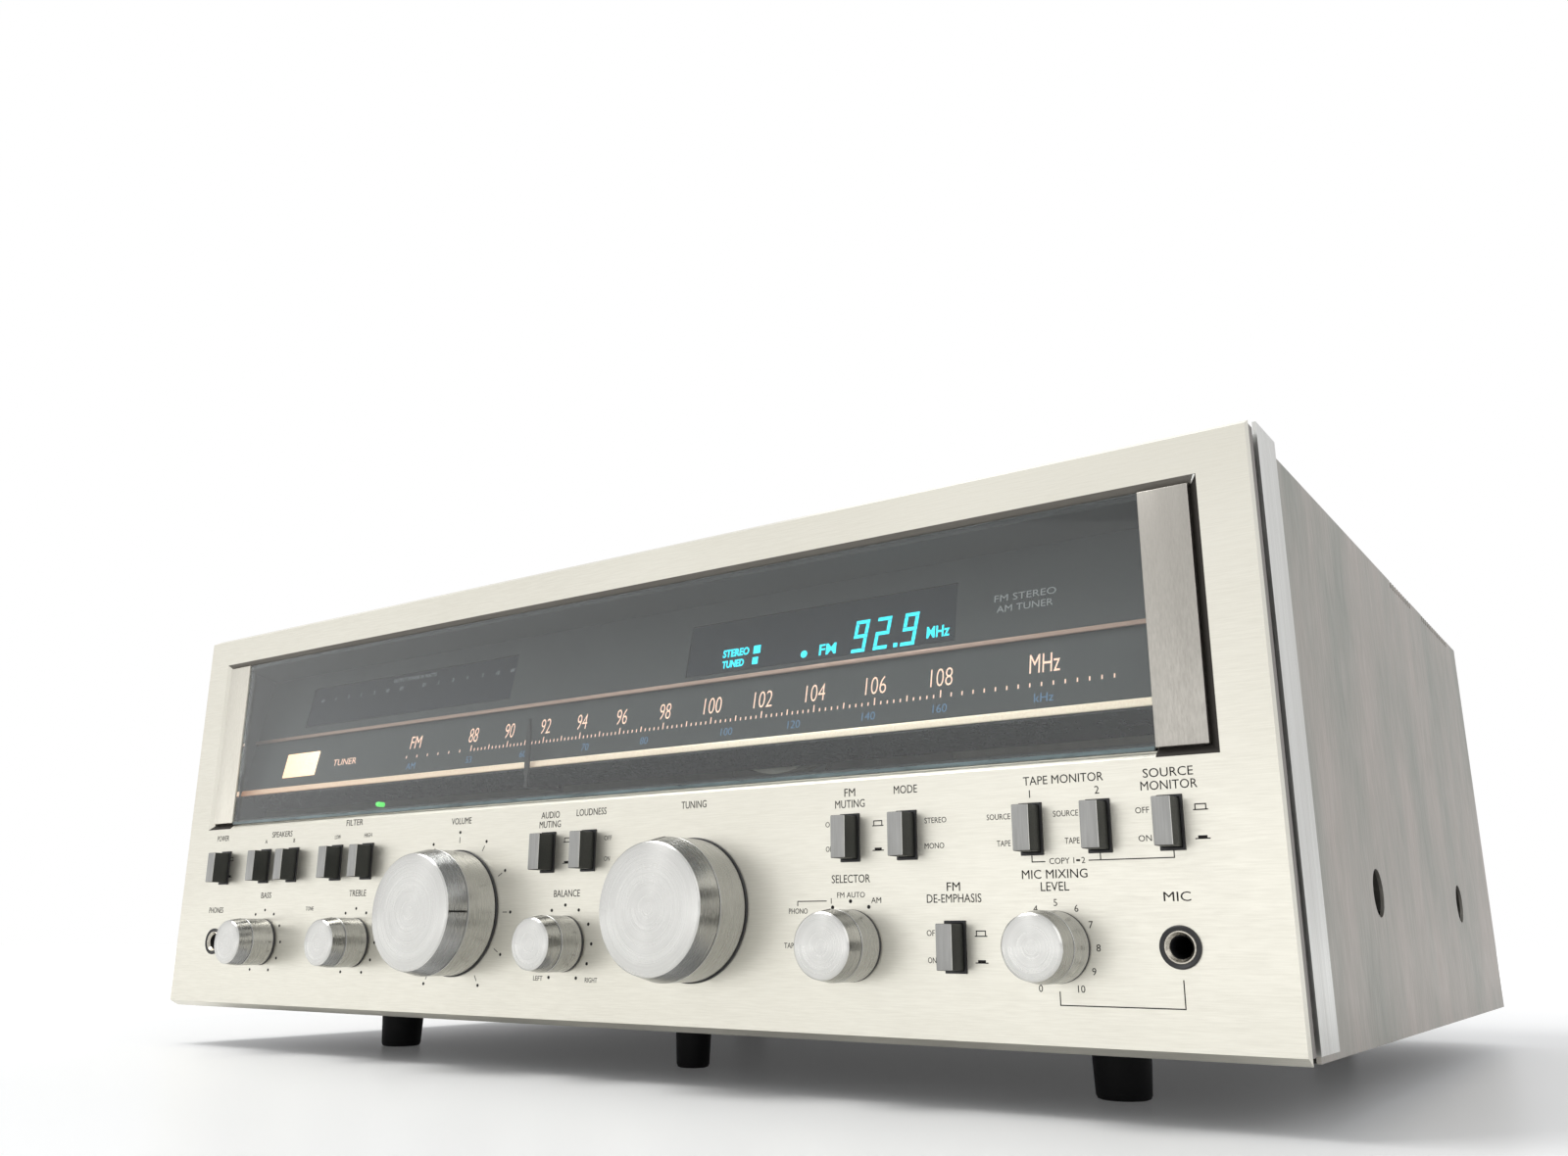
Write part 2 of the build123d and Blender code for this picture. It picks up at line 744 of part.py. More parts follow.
def dial_string():
    """Pointer string and drive string."""
    pointer_loop = string_loop([(-pulley_x, pulley_z, pulley_radius), (pulley_x, pulley_z, pulley_radius),
                                (drum_x, drum_z, drum_radius)], pointer_string_y)
    drive_loop = string_loop([(tuning_x, tuning_z, spindle_radius), (drum_x, drum_z, drum_radius)],
                             drive_string_y)
    return group([pointer_loop, drive_loop])


def dial_pointer():
    """Pointer that hooks under the scale plate, with the carriage that rides on the string."""
    x = pointer_x
    arm = pointer_arm_width / 2
    needle = pointer_width / 2
    back = pointer_back_y + pointer_arm
    carriage_low = string_run_z - carriage_height / 2
    carriage_front = run_y - carriage_depth / 2
    carriage = slab(x - carriage_width / 2, x + carriage_width / 2, carriage_front,
                    run_y + carriage_depth / 2, carriage_low, carriage_low + carriage_height)
    carriage -= slab(x - carriage_width, x + carriage_width, run_y - carriage_slot / 2,
                     run_y + carriage_slot / 2, string_run_z - carriage_slot / 2,
                     carriage_low + carriage_height + 1)
    neck = slab(x - arm, x + arm, pointer_back_y, carriage_front, carriage_low,
                carriage_low + carriage_height)
    drop = slab(x - arm, x + arm, pointer_back_y, back, pointer_floor_z, carriage_low + carriage_height)
    under = slab(x - arm, x + arm, pointer_face_y, back, pointer_floor_z, pointer_floor_z + pointer_floor)
    blade = slab(x - needle, x + needle, pointer_face_y, pointer_face_y + pointer_arm, pointer_floor_z,
                 pointer_tip_z)
    return carriage + [neck, drop, under, blade]


# ---- jacks and feet ------------------------------------------------------------------------------------------------------------------------------
def front_jacks():
    """Headphone and microphone jacks, each with its round bezel."""
    pieces = []
    for x in jacks:
        body = rod(x, jack_z, jack_bush_radius, -jack_proud, inner_front_back)
        body += slab(x - jack_body_width / 2, x + jack_body_width / 2, inner_front_back, jack_body_back,
                     jack_z - jack_body_height / 2, jack_z + jack_body_height / 2)
        flare = jack_mouth_radius - jack_bore_radius
        mouth = turned([(0, -jack_proud), (jack_mouth_radius, -jack_proud),
                        (jack_bore_radius, -jack_proud + flare), (0, -jack_proud + flare)], x, jack_z)
        pieces.append(body - [rod(x, jack_z, jack_bore_radius, -jack_proud - 1, jack_bore_end), mouth])
        bezel = rod(x, jack_z, jack_bezel_radius, -jack_bezel_proud, 0)
        pieces.append(bezel - rod(x, jack_z, jack_bush_radius + seam, -jack_bezel_proud - 1, 1))
    return group(pieces)


def foot(x, y, radius):
    """Round moulded foot, a little narrower at the sole."""
    cone = Cone(radius - foot_taper, radius, foot_height, align=(Align.CENTER, Align.CENTER, Align.MIN))
    return Pos(x, y, case_bottom - foot_height) * cone


def feet():
    """Three feet in front and two at the back."""
    centre = foot_row_shift
    rear_y = body_depth - rear_foot_inset
    pieces = [foot(centre, front_foot_y, middle_foot_radius)]
    for side in (-1, 1):
        pieces.append(foot(centre + side * foot_spacing, front_foot_y, foot_radius))
        pieces.append(foot(centre + side * foot_spacing, rear_y, foot_radius))
    return group(pieces)


# ---- case ------------------------------------------------------------------------------------------------------------------------------------------
def main_board_span():
    """Front and back edges of the main board, set in from the rear panel."""
    back = rear_inner - main_board_inset
    return back - main_board_depth, back


def cover_screw_places():
    """(x, y) of the cover's screws, on the side plates' flanges."""
    x = side_outer - side_flange / 2
    rows = (cover_screw_front, body_depth / 2, body_depth - cover_screw_rear_inset)
    return [(side * x, y) for side in (-1, 1) for y in rows]


def rear_screw_places():
    """(x, z) of the screws that hold the rear panel to the base pan."""
    z = floor_z + pan_flange / 2
    reach = inner_half - rear_screw_inset
    return [(x, z) for x in (-reach, 0.0, reach)]


def base_pan():
    """Folded steel tray with vent slots and the posts that carry the boards."""
    front = inner_front_back + seam
    back = rear_inner - seam
    top = floor_z + pan_flange
    tray = slab(-inner_half, inner_half, front, back, case_bottom, top)
    tray -= slab(-inner_half + pan_sheet, inner_half - pan_sheet, front + pan_sheet, back - pan_sheet,
                 floor_z, top + 1)
    cuts = []
    vent_back = back - bottom_vent_inset
    for i in range(bottom_vent_count):
        y = vent_back - i * bottom_vent_pitch
        for x in (-bottom_vent_x, bottom_vent_x):
            cuts.append(slab(x - bottom_vent_length / 2, x + bottom_vent_length / 2,
                             y - bottom_vent_width / 2, y + bottom_vent_width / 2,
                             case_bottom - 1, floor_z + 1))
    for x, z in rear_screw_places():
        cuts.append(rod(x, z, screw_radius + screw_hole_gap / 2, back - pan_sheet - 1, back + 1))
    tray -= cuts
    board_front, board_back = main_board_span()
    low = floor_z
    posts = [post(side * (main_board_half - main_post_inset), y, post_radius, low, main_board_z)
             for side in (-1, 1) for y in (board_front + main_post_inset, board_back - main_post_inset)]
    left, right, near, far = tuner_board
    left += tuner_post_inset
    bay = right - tuner_post_bay
    right -= tuner_post_inset
    near += tuner_post_near_inset
    far -= tuner_post_inset
    for x, y in ((left, near), (right, near), (bay, far), (right, far)):
        posts.append(post(x, y, post_radius, low, tuner_board_z))
    return tray + posts


def side_plate(side):
    """Steel side with a flange folded in at the top, two cable holes and slot ends on the fold."""
    front = rail_back + side_plate_gap
    plate = slab(side_inner, side_outer, front, body_depth, case_bottom, case_top)
    plate += slab(side_outer - side_flange, side_outer, inner_front_back + side_flange_gap, body_depth,
                  case_top - sheet, case_top)
    cuts = [Pos(side_inner - 1, side_hole_front, side_hole_z) * Rot(0, 90, 0)
            * Cylinder(side_hole_radius, 2 * sheet + 2, align=(Align.CENTER, Align.CENTER, Align.MIN)),
            Pos(side_inner - 1, body_depth - side_hole_rear_inset, side_hole_z) * Rot(0, 90, 0)
            * Cylinder(side_hole_radius, 2 * sheet + 2, align=(Align.CENTER, Align.CENTER, Align.MIN))]
    for start, count in ((front_vent_start, front_vent_count), (rear_vent_start, rear_vent_count)):
        for i in range(count):
            y = start + i * vent_pitch
            cuts.append(slab(side_outer - side_vent_reach, side_outer + 1, y - vent_width / 2,
                             y + vent_width / 2, case_top - side_vent_drop, case_top + 1))
    for x, y in cover_screw_places():
        if x > 0:
            cuts.append(post(x, y, screw_radius + screw_hole_gap / 2, case_top - 2 * sheet, case_top + 1))
    plate -= cuts
    return plate if side > 0 else mirror(plate, about=Plane.YZ)


def top_cover():
    """Flat steel lid with rows of vent slots, laid on the side plates' flanges."""
    half = side_outer - side_flange + cover_overlap
    cover = slab(-half, half, inner_front_y, body_depth, case_top, case_top + sheet)
    cuts = []
    for start, count in ((front_vent_start, front_vent_count), (rear_vent_start, rear_vent_count)):
        for i in range(count):
            y = start + i * vent_pitch
            for x in vent_columns:
                cuts.append(slab(x - vent_length / 2, x + vent_length / 2, y - vent_width / 2,
                                 y + vent_width / 2, case_top - 1, case_top + sheet + 1))
    for x, y in cover_screw_places():
        cuts.append(post(x, y, screw_radius + screw_hole_gap, case_top - 1, case_top + sheet + 1))
    return cover - cuts


def cover_screws():
    """Pan-head screws of the cover and the rear panel."""
    screws = []
    for x, y in cover_screw_places():
        top = case_top + sheet
        screws.append(post(x, y, screw_head_radius, top, top + screw_head)
                      + post(x, y, screw_radius, top - screw_length, top))
    for x, z in rear_screw_places():
        screws.append(rod(x, z, screw_head_radius, body_depth, body_depth + screw_head)
                      + rod(x, z, screw_radius, body_depth - screw_length, body_depth))
    return group(screws)


def rear_panel():
    """Steel back with cut-outs for its fittings and two ears with the pin of the bar antenna."""
    panel = slab(-inner_half, inner_half, rear_inner, body_depth, floor_z, case_top - sheet - seam)
    y0 = rear_inner - 1
    y1 = body_depth + 1
    x, z = inlet_centre
    w = inlet_recess_width / 2 + inlet_wall + seam
    h = inlet_recess_height / 2 + inlet_wall + seam
    cuts = [slab(x - w, x + w, y0, y1, z - h, z + h)]
    for left, right, low, high in (terminal_block, socket_strip, antenna_block, outlet_block):
        cuts.append(slab(left + fitting_land, right - fitting_land, y0, y1, low + fitting_land,
                         high - fitting_land))
    for x, z in rear_screw_places():
        cuts.append(rod(x, z, screw_radius + screw_hole_gap, y0, y1))
    ears = []
    for low in (pivot_z - ear_gap / 2 - ear_thickness, pivot_z + ear_gap / 2):
        ears.append(slab(pivot_x - ear_width / 2, pivot_x + ear_width / 2, body_depth,
                         body_depth + ear_reach, low, low + ear_thickness))
    pin = post(pivot_x, body_depth + pivot_stand_off, pivot_pin_radius, pivot_z - ear_gap / 2,
               pivot_z + ear_gap / 2)
    return (panel - cuts) + ears + pin


# ---- rear fittings --------------------------------------------------------------------------------------------------------------------------------------
def speaker_terminals():
    """Terminal block with two rows of clamp levers."""
    left, right, low, high = terminal_block
    face = body_depth + terminal_block_depth
    middle = (low + high) / 2
    block = slab(left, right, body_depth, face, low, high)
    pieces = []
    holes = []
    for x in spaced(left, right, lever_columns):
        for z in ((low + middle) / 2, (middle + high) / 2):
            pieces.append(slab(x - lever_width / 2, x + lever_width / 2, face, face + lever_reach,
                               z - lever_height / 2 + lever_step, z + lever_height / 2))
            holes.append(rod(x, z - lever_height / 2, wire_hole_radius, body_depth - 1, face + 1))
    return group([block - holes] + pieces)


def phono_sockets():
    """Two rows of line sockets on one strip."""
    left, right, low, high = socket_strip
    face = body_depth + socket_strip_depth
    strip = slab(left, right, body_depth, face, low, high)
    pieces = [strip]
    middle = (low + high) / 2
    for x in spaced(left, right, socket_columns):
        for z in ((low + middle) / 2, (middle + high) / 2):
            shell = rod(x, z, socket_radius, face, face + socket_length)
            pieces.append(shell - rod(x, z, socket_pin_radius, face + 1, face + socket_length + 1))
    return group(pieces)


def antenna_terminals():
    """Antenna board with four screw terminals and a coaxial socket."""
    left, right, low, high = antenna_block
    face = body_depth + antenna_block_depth
    middle = (low + high) / 2
    places = spaced(left, right, 5)
    pieces = [slab(left, right, body_depth, face, low, high)]
    for x in places[:4]:
        pieces.append(rod(x, middle, antenna_screw_radius, face, face + antenna_screw_reach))
    coax = rod(places[4], middle, coax_radius, face, body_depth + coax_length)
    pieces.append(coax - rod(places[4], middle, coax_bore_radius, face + 1, body_depth + coax_length + 1))
    return group(pieces)


def mains_inlet():
    """Recessed two-pin mains inlet with its flange on the rear panel."""
    x, z = inlet_centre
    face = body_depth + inlet_flange
    floor_y = face - inlet_recess_depth
    w = inlet_recess_width / 2
    h = inlet_recess_height / 2
    flange = slab(x - inlet_flange_width / 2, x + inlet_flange_width / 2, body_depth, face,
                  z - inlet_flange_height / 2, z + inlet_flange_height / 2)
    shell = slab(x - w - inlet_wall, x + w + inlet_wall, floor_y - inlet_wall, body_depth,
                 z - h - inlet_wall, z + h + inlet_wall)
    body = (flange + shell) - slab(x - w, x + w, floor_y, face + 1, z - h, z + h)
    pins = [rod(x + side * w / 2, z, inlet_pin_radius, floor_y, floor_y + inlet_pin_length)
            for side in (-1, 1)]
    return body + pins


def mains_outlets():
    """Block with two switched outlets for other units."""
    left, right, low, high = outlet_block
    face = body_depth + outlet_block_depth
    block = slab(left, right, body_depth, face, low, high)
    middle = (low + high) / 2
    cuts = []
    for x in spaced(left, right, 2):
        for side in (-1, 1):
            slot = x + side * outlet_slot_spacing
            cuts.append(slab(slot - outlet_slot_width / 2, slot + outlet_slot_width / 2, body_depth - 1,
                             face + 1, middle - outlet_slot_height / 2, middle + outlet_slot_height / 2))
    return block - cuts


def antenna_bar():
    """Ferrite rod in its swinging holder."""
    y = body_depth + pivot_stand_off
    half = ear_gap / 2 - pivot_end_gap
    boss = post(pivot_x, y, pivot_boss_radius, pivot_z - half, pivot_z + half)
    end = pivot_x + ferrite_start + ferrite_length
    spine_front = y - pivot_boss_radius + 2 * ferrite_radius
    holder = boss + [slab(pivot_x, end + holder_end, spine_front, spine_front + holder_spine,
                          pivot_z - half, pivot_z + half),
                     slab(end + ferrite_end_gap, end + holder_end, y - pivot_boss_radius,
                          spine_front + holder_spine, pivot_z - half, pivot_z + half)]
    holder -= post(pivot_x, y, pivot_pin_radius + running_gap, pivot_z - ear_gap, pivot_z + ear_gap)
    bar = Pos(pivot_x + ferrite_start, spine_front - ferrite_radius, pivot_z) * Rot(0, 90, 0) * Cylinder(
        ferrite_radius, ferrite_length, align=(Align.CENTER, Align.CENTER, Align.MIN))
    return group([holder, bar])


# ---- inside -----------------------------------------------------------------------------------------------------------------------------------------------
def power_transformer():
    """Laminated core with its winding."""
    x = transformer_x
    y = transformer_y
    core = slab(x - transformer_width / 2, x + transformer_width / 2, y - transformer_depth / 2,
                y + transformer_depth / 2, floor_z, floor_z + transformer_height)
    middle = floor_z + transformer_height / 2
    reach = transformer_depth / 2 + coil_bulge
    coils = [slab(x - coil_width / 2, x + coil_width / 2, y + transformer_depth / 2, y + reach,
                  middle - coil_height / 2, middle + coil_height / 2),
             slab(x - coil_width / 2, x + coil_width / 2, y - reach, y - transformer_depth / 2,
                  middle - coil_height / 2, middle + coil_height / 2)]
    return core + coils


def filter_capacitors():
    """Two large supply capacitors."""
    return group([post(x, capacitor_y, capacitor_radius, floor_z, floor_z + capacitor_height)
                  for x in capacitor_x])


def heat_sinks():
    """Two finned extrusions in front of the rear panel."""
    sinks = []
    front = rear_inner - sink_inset
    for side in (-1, 1):
        x0 = side * (sink_gap + sink_length) / 2 - sink_length / 2
        sink = slab(x0, x0 + sink_length, front, front + sink_base, floor_z, floor_z + sink_height)
        fins = [slab(x - sink_fin_thickness / 2, x + sink_fin_thickness / 2, front + sink_base,
                     front + sink_base + sink_fin_length, floor_z, floor_z + sink_height)
                for x in spaced(x0, x0 + sink_length, sink_fin_count)]
        sinks.append(sink + fins)
    return group(sinks)


def output_transistors():
    """Power transistors on the front faces of the heat sinks."""
    pieces = []
    face = rear_inner - sink_inset
    for side in (-1, 1):
        x0 = side * (sink_gap + sink_length) / 2 - sink_length / 2
        for x in spaced(x0, x0 + sink_length, transistors_per_sink):
            pieces.append(slab(x - transistor_width / 2, x + transistor_width / 2,
                               face - transistor_thickness, face, transistor_z - transistor_height / 2,
                               transistor_z + transistor_height / 2))
    return group(pieces)


def main_board():
    """Power amplifier and supply board on its posts."""
    front, back = main_board_span()
    top = main_board_z + board_thickness
    return slab(-main_board_half, main_board_half, front, back, main_board_z, top)


def tuner_deck():
    """Tuner board on its tall posts."""
    left, right, near, far = tuner_board
    return slab(left, right, near, far, tuner_board_z, tuner_board_z + board_thickness)


def tone_board():
    """Upright control board that the switches are soldered to."""
    low, high = tone_board_z
    edge = inner_half - tone_board_inset
    return slab(-edge, edge, switch_back, switch_back + board_thickness, low, high)


def tuning_capacitor():
    """Closed gang capacitor with the bearing for the drum's shaft."""
    x0 = drum_x - tuning_gang_width / 2
    x1 = drum_x + tuning_gang_width / 2
    body = slab(x0, x1, tuning_gang_front, tuning_gang_front + tuning_gang_length,
                tuner_board_z + board_thickness, tuning_gang_top)
    body += rod(drum_x, drum_z, gang_boss_radius, tuning_gang_front - gang_boss_length, tuning_gang_front)
    return body - rod(drum_x, drum_z, shaft_radius + running_gap, tuning_gang_front - gang_boss_length - 1,
                      drum_shaft_end + 1)


def all_nodes():
    """Every node name with the solid or solids it holds."""
    nodes = {
        "front_panel": front_panel(),
        "end_rails": end_rails(),
        "window_blocks": window_blocks(),
        "dial_glass": dial_glass(),
        "dial_scale_plate": dial_scale_plate(),
        "dial_rails": dial_rails(),
        "frequency_display": display_tube(frequency_window),
        "power_display": display_tube(power_window),
        "inner_front": inner_front(),
        "button_frames": button_frames(),
        "switch_bodies": switch_bodies(),
        "rotary_controls": rotary_controls(),
        "knob_tuning": tuning_knob(),
        "tuning_flywheel": tuning_flywheel(),
        "dial_drum": dial_drum(),
        "dial_pulley_left": dial_pulley(-1),
        "dial_pulley_right": dial_pulley(1),
        "dial_string": dial_string(),
        "dial_pointer": dial_pointer(),
        "front_jacks": front_jacks(),
        "feet": feet(),
        "base_pan": base_pan(),
        "side_plate_left": side_plate(-1),
        "side_plate_right": side_plate(1),
        "top_cover": top_cover(),
        "cover_screws": cover_screws(),
        "rear_panel": rear_panel(),
        "speaker_terminals": speaker_terminals(),
        "phono_sockets": phono_sockets(),
        "antenna_terminals": antenna_terminals(),
        "mains_inlet": mains_inlet(),
        "mains_outlets": mains_outlets(),
        "antenna_bar": antenna_bar(),
        "power_transformer": power_transformer(),
        "filter_capacitors": filter_capacitors(),
        "heat_sinks": heat_sinks(),
        "output_transistors": output_transistors(),
        "main_board": main_board(),
        "tuner_board": tuner_deck(),
        "tone_board": tone_board(),
        "tuning_capacitor": tuning_capacitor(),
    }
    for name, place in buttons.items():
        nodes[name] = push_button(*place)
    for name, shape in knobs.items():
        nodes[name] = knob(*shape)
    return nodes


os.makedirs("parts", exist_ok=True)
for node_name, piece in all_nodes().items():
    export_step(Pos(0, shift_y, shift_z) * piece, f"parts/{node_name}.step")
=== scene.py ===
"""Looks of a stereo receiver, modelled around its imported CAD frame.

Every piece is drawn in the front panel's own millimetres: X to the right, Y backwards from
the panel's face, Z up from the panel's lower front edge. PanelFrame turns them into metres.
"""

import json
import logging
import math
from dataclasses import dataclass, field
from enum import Enum

import bmesh
import bpy
from mathutils import Matrix, Vector

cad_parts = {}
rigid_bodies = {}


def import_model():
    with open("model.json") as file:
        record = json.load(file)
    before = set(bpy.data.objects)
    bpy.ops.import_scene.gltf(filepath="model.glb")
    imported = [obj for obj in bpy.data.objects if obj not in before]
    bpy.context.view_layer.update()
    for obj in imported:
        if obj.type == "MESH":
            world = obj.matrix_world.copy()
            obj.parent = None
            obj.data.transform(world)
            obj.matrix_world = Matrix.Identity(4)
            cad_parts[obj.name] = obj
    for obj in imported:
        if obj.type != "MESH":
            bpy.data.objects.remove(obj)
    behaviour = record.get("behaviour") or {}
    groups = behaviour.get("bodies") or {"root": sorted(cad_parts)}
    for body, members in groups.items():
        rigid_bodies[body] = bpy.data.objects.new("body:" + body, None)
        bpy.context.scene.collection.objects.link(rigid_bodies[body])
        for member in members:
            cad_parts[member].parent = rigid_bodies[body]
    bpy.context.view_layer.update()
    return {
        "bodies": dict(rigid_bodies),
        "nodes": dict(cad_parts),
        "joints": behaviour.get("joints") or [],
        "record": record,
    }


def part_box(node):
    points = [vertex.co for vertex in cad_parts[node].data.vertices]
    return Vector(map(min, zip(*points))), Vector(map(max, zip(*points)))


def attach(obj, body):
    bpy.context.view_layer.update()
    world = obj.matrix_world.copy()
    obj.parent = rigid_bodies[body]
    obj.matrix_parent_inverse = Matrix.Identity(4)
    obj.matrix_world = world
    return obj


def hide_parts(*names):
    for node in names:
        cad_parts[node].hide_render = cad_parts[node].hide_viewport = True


log = logging.getLogger("receiver")

MILLIMETRE = 0.001
SHARP_ANGLE = math.radians(32.0)


# ---- shader helpers ---------------------------------------------------------------------
def linear(hex_colour: str) -> tuple[float, float, float, float]:
    """Turns an sRGB hex colour into linear light.

    Args:
        hex_colour: six hex digits, such as "C8C4BA".

    Returns:
        Red, green, blue and alpha, as shader sockets take them.
    """
    parts = [int(hex_colour[i:i + 2], 16) / 255 for i in (0, 2, 4)]
    light = [p / 12.92 if p <= 0.04045 else ((p + 0.055) / 1.055) ** 2.4 for p in parts]
    return light[0], light[1], light[2], 1.0


def add_node(tree: bpy.types.NodeTree, kind: str, inputs: dict | None = None,
             **options: object) -> bpy.types.Node:
    """Adds one node with its settings and links.

    Args:
        tree: the node tree to add to.
        kind: the node's type name.
        inputs: socket name or index to a value, or to an output socket to link from.
        options: attributes of the node itself.

    Returns:
        The new node.
    """
    made = tree.nodes.new(kind)
    for key, value in options.items():
        setattr(made, key, value)
    for key, value in (inputs or {}).items():
        if isinstance(value, bpy.types.NodeSocket):
            tree.links.new(value, made.inputs[key])
        else:
            made.inputs[key].default_value = value
    return made


def blank_material(name: str) -> tuple[bpy.types.Material, bpy.types.NodeTree]:
    """Makes a material whose node tree is empty.

    Args:
        name: the material's name.

    Returns:
        The material and its node tree.
    """
    material = bpy.data.materials.new(name)
    material.use_nodes = True
    material.node_tree.nodes.clear()
    return material, material.node_tree


def mix_colours(tree: bpy.types.NodeTree, share: object, first: object,
                second: object) -> bpy.types.NodeSocket:
    """Mixes two colours.

    Args:
        tree: the node tree to add to.
        share: how much of the second colour, as a number or a socket.
        first: colour or socket at share 0.
        second: colour or socket at share 1.

    Returns:
        The mixed colour's socket.
    """
    mixed = add_node(tree, "ShaderNodeMix", {0: share, 6: first, 7: second}, data_type="RGBA")
    return mixed.outputs[2]


# ---- finishes ---------------------------------------------------------------------------
@dataclass(frozen=True)
class Finish:
    """A surface with a fine grain and broader clouds, both in its colour and its gloss."""

    name: str
    colour: str
    shade: str
    roughness: float
    metallic: float = 0.0
    grain_mm: tuple[float, float, float] = (0.8, 0.8, 0.8)
    grain_share: float = 0.5
    cloud_mm: tuple[float, float, float] = (60.0, 60.0, 60.0)
    cloud_share: float = 0.35
    gloss_change: float = 0.1
    relief_mm: float = 0.02
    anisotropy: float = 0.0
    specular: float = 0.5

    def material(self) -> bpy.types.Material:
        """Gives the finish's material, built the first time it is asked for."""
        return bpy.data.materials.get(self.name) or self.build()

    def build(self) -> bpy.types.Material:
        """Builds the node tree.

        Returns:
            The new material.
        """
        material, tree = blank_material(self.name)
        place = self.coordinates(tree)
        grain = self.noise(tree, place, self.grain_mm, 3.0)
        cloud = self.noise(tree, place, self.cloud_mm, 2.0)
        shader = add_node(tree, "ShaderNodeBsdfPrincipled", {
            "Metallic": self.metallic, "Anisotropic": self.anisotropy,
            "Specular IOR Level": self.specular,
            "Base Color": self.colours(tree, place, grain, cloud),
            "Roughness": self.gloss(tree, grain),
            "Normal": self.relief(tree, grain)})
        self.extras(tree, shader, place)
        add_node(tree, "ShaderNodeOutputMaterial", {"Surface": shader.outputs[0]})
        return material

    def coordinates(self, tree: bpy.types.NodeTree) -> bpy.types.NodeSocket:
        """Gives the place on the piece, in metres of the shared frame."""
        return add_node(tree, "ShaderNodeTexCoord").outputs["Object"]

    def noise(self, tree: bpy.types.NodeTree, place: bpy.types.NodeSocket,
              size_mm: tuple[float, float, float], detail: float) -> bpy.types.NodeSocket:
        """Adds a noise whose blotches have a real size along each axis.

        Args:
            tree: the node tree to add to.
            place: coordinates in metres.
            size_mm: blotch size along X, Y and Z.
            detail: octaves of finer noise.

        Returns:
            The noise, stretched to about 0 to 1.
        """
        scale = tuple(1 / (size * MILLIMETRE) for size in size_mm)
        mapped = add_node(tree, "ShaderNodeMapping", {"Vector": place, "Scale": scale})
        raw = add_node(tree, "ShaderNodeTexNoise", {
            "Vector": mapped.outputs[0], "Scale": 1.0, "Detail": detail, "Roughness": 0.55})
        spread = add_node(tree, "ShaderNodeMapRange", {0: raw.outputs[0], 1: 0.3, 2: 0.7})
        return spread.outputs[0]

    def colours(self, tree: bpy.types.NodeTree, place: bpy.types.NodeSocket,
                grain: bpy.types.NodeSocket, cloud: bpy.types.NodeSocket) -> bpy.types.NodeSocket:
        """Mixes the shade into the colour by grain and cloud.

        Args:
            tree: the node tree to add to.
            place: coordinates in metres.
            grain: fine noise.
            cloud: broad noise.

        Returns:
            The colour's socket.
        """
        fine = add_node(tree, "ShaderNodeMath", {0: grain, 1: self.grain_share}, operation="MULTIPLY")
        broad = add_node(tree, "ShaderNodeMath", {0: cloud, 1: self.cloud_share, 2: fine.outputs[0]},
                         operation="MULTIPLY_ADD", use_clamp=True)
        return mix_colours(tree, broad.outputs[0], linear(self.colour), linear(self.shade))

    def gloss(self, tree: bpy.types.NodeTree, grain: bpy.types.NodeSocket) -> bpy.types.NodeSocket:
        """Varies the roughness with the grain."""
        low = max(self.roughness - self.gloss_change / 2, 0.02)
        spread = add_node(tree, "ShaderNodeMapRange", {0: grain, 3: low, 4: low + self.gloss_change})
        return spread.outputs[0]

    def relief(self, tree: bpy.types.NodeTree, grain: bpy.types.NodeSocket) -> bpy.types.NodeSocket:
        """Raises the grain by its real depth."""
        bump = add_node(tree, "ShaderNodeBump", {
            "Height": grain, "Distance": self.relief_mm * MILLIMETRE, "Strength": 1.0})
        return bump.outputs[0]

    def extras(self, tree: bpy.types.NodeTree, shader: bpy.types.Node,
               place: bpy.types.NodeSocket) -> None:
        """Lets a kind of finish add to the shader; a plain one adds nothing."""


@dataclass(frozen=True)
class Turned(Finish):
    """A lathe-turned metal face, whose fine rings pull its highlights into wedges."""

    # Share of a full turn between the rings and their highlights.
    highlight_turn: float = 0.25

    def coordinates(self, tree: bpy.types.NodeTree) -> bpy.types.NodeSocket:
        """Gives the turn and the radius, stored on the piece as its UV map."""
        return add_node(tree, "ShaderNodeUVMap", uv_map=Piece.UV).outputs[0]

    def extras(self, tree: bpy.types.NodeTree, shader: bpy.types.Node,
               place: bpy.types.NodeSocket) -> None:
        """Turns the highlights round the axis."""
        shader.inputs["Anisotropic Rotation"].default_value = self.highlight_turn
        tangent = add_node(tree, "ShaderNodeTangent", direction_type="UV_MAP", uv_map=Piece.UV)
        tree.links.new(tangent.outputs[0], shader.inputs["Tangent"])


@dataclass(frozen=True)
class Lit(Finish):
    """Print or plastic with a lamp behind it, or a painted glow on a part that is no lamp; a little uneven
    across its width.
    """

    glow: float = 1.0
    edge_colour: str = ""
    span_mm: tuple[float, float] = (-235.0, 235.0)

    def extras(self, tree: bpy.types.NodeTree, shader: bpy.types.Node,
               place: bpy.types.NodeSocket) -> None:
        """Adds the emitted light, warmer at the span's first end."""
        shader.inputs["Emission Strength"].default_value = self.glow
        across = add_node(tree, "ShaderNodeSeparateXYZ", {0: place})
        share = add_node(tree, "ShaderNodeMapRange", {
            0: across.outputs[0], 1: self.span_mm[0] * MILLIMETRE, 2: self.span_mm[1] * MILLIMETRE})
        warm = linear(self.edge_colour or self.shade)
        light = mix_colours(tree, share.outputs[0], warm, linear(self.colour))
        tree.links.new(light, shader.inputs["Emission Color"])


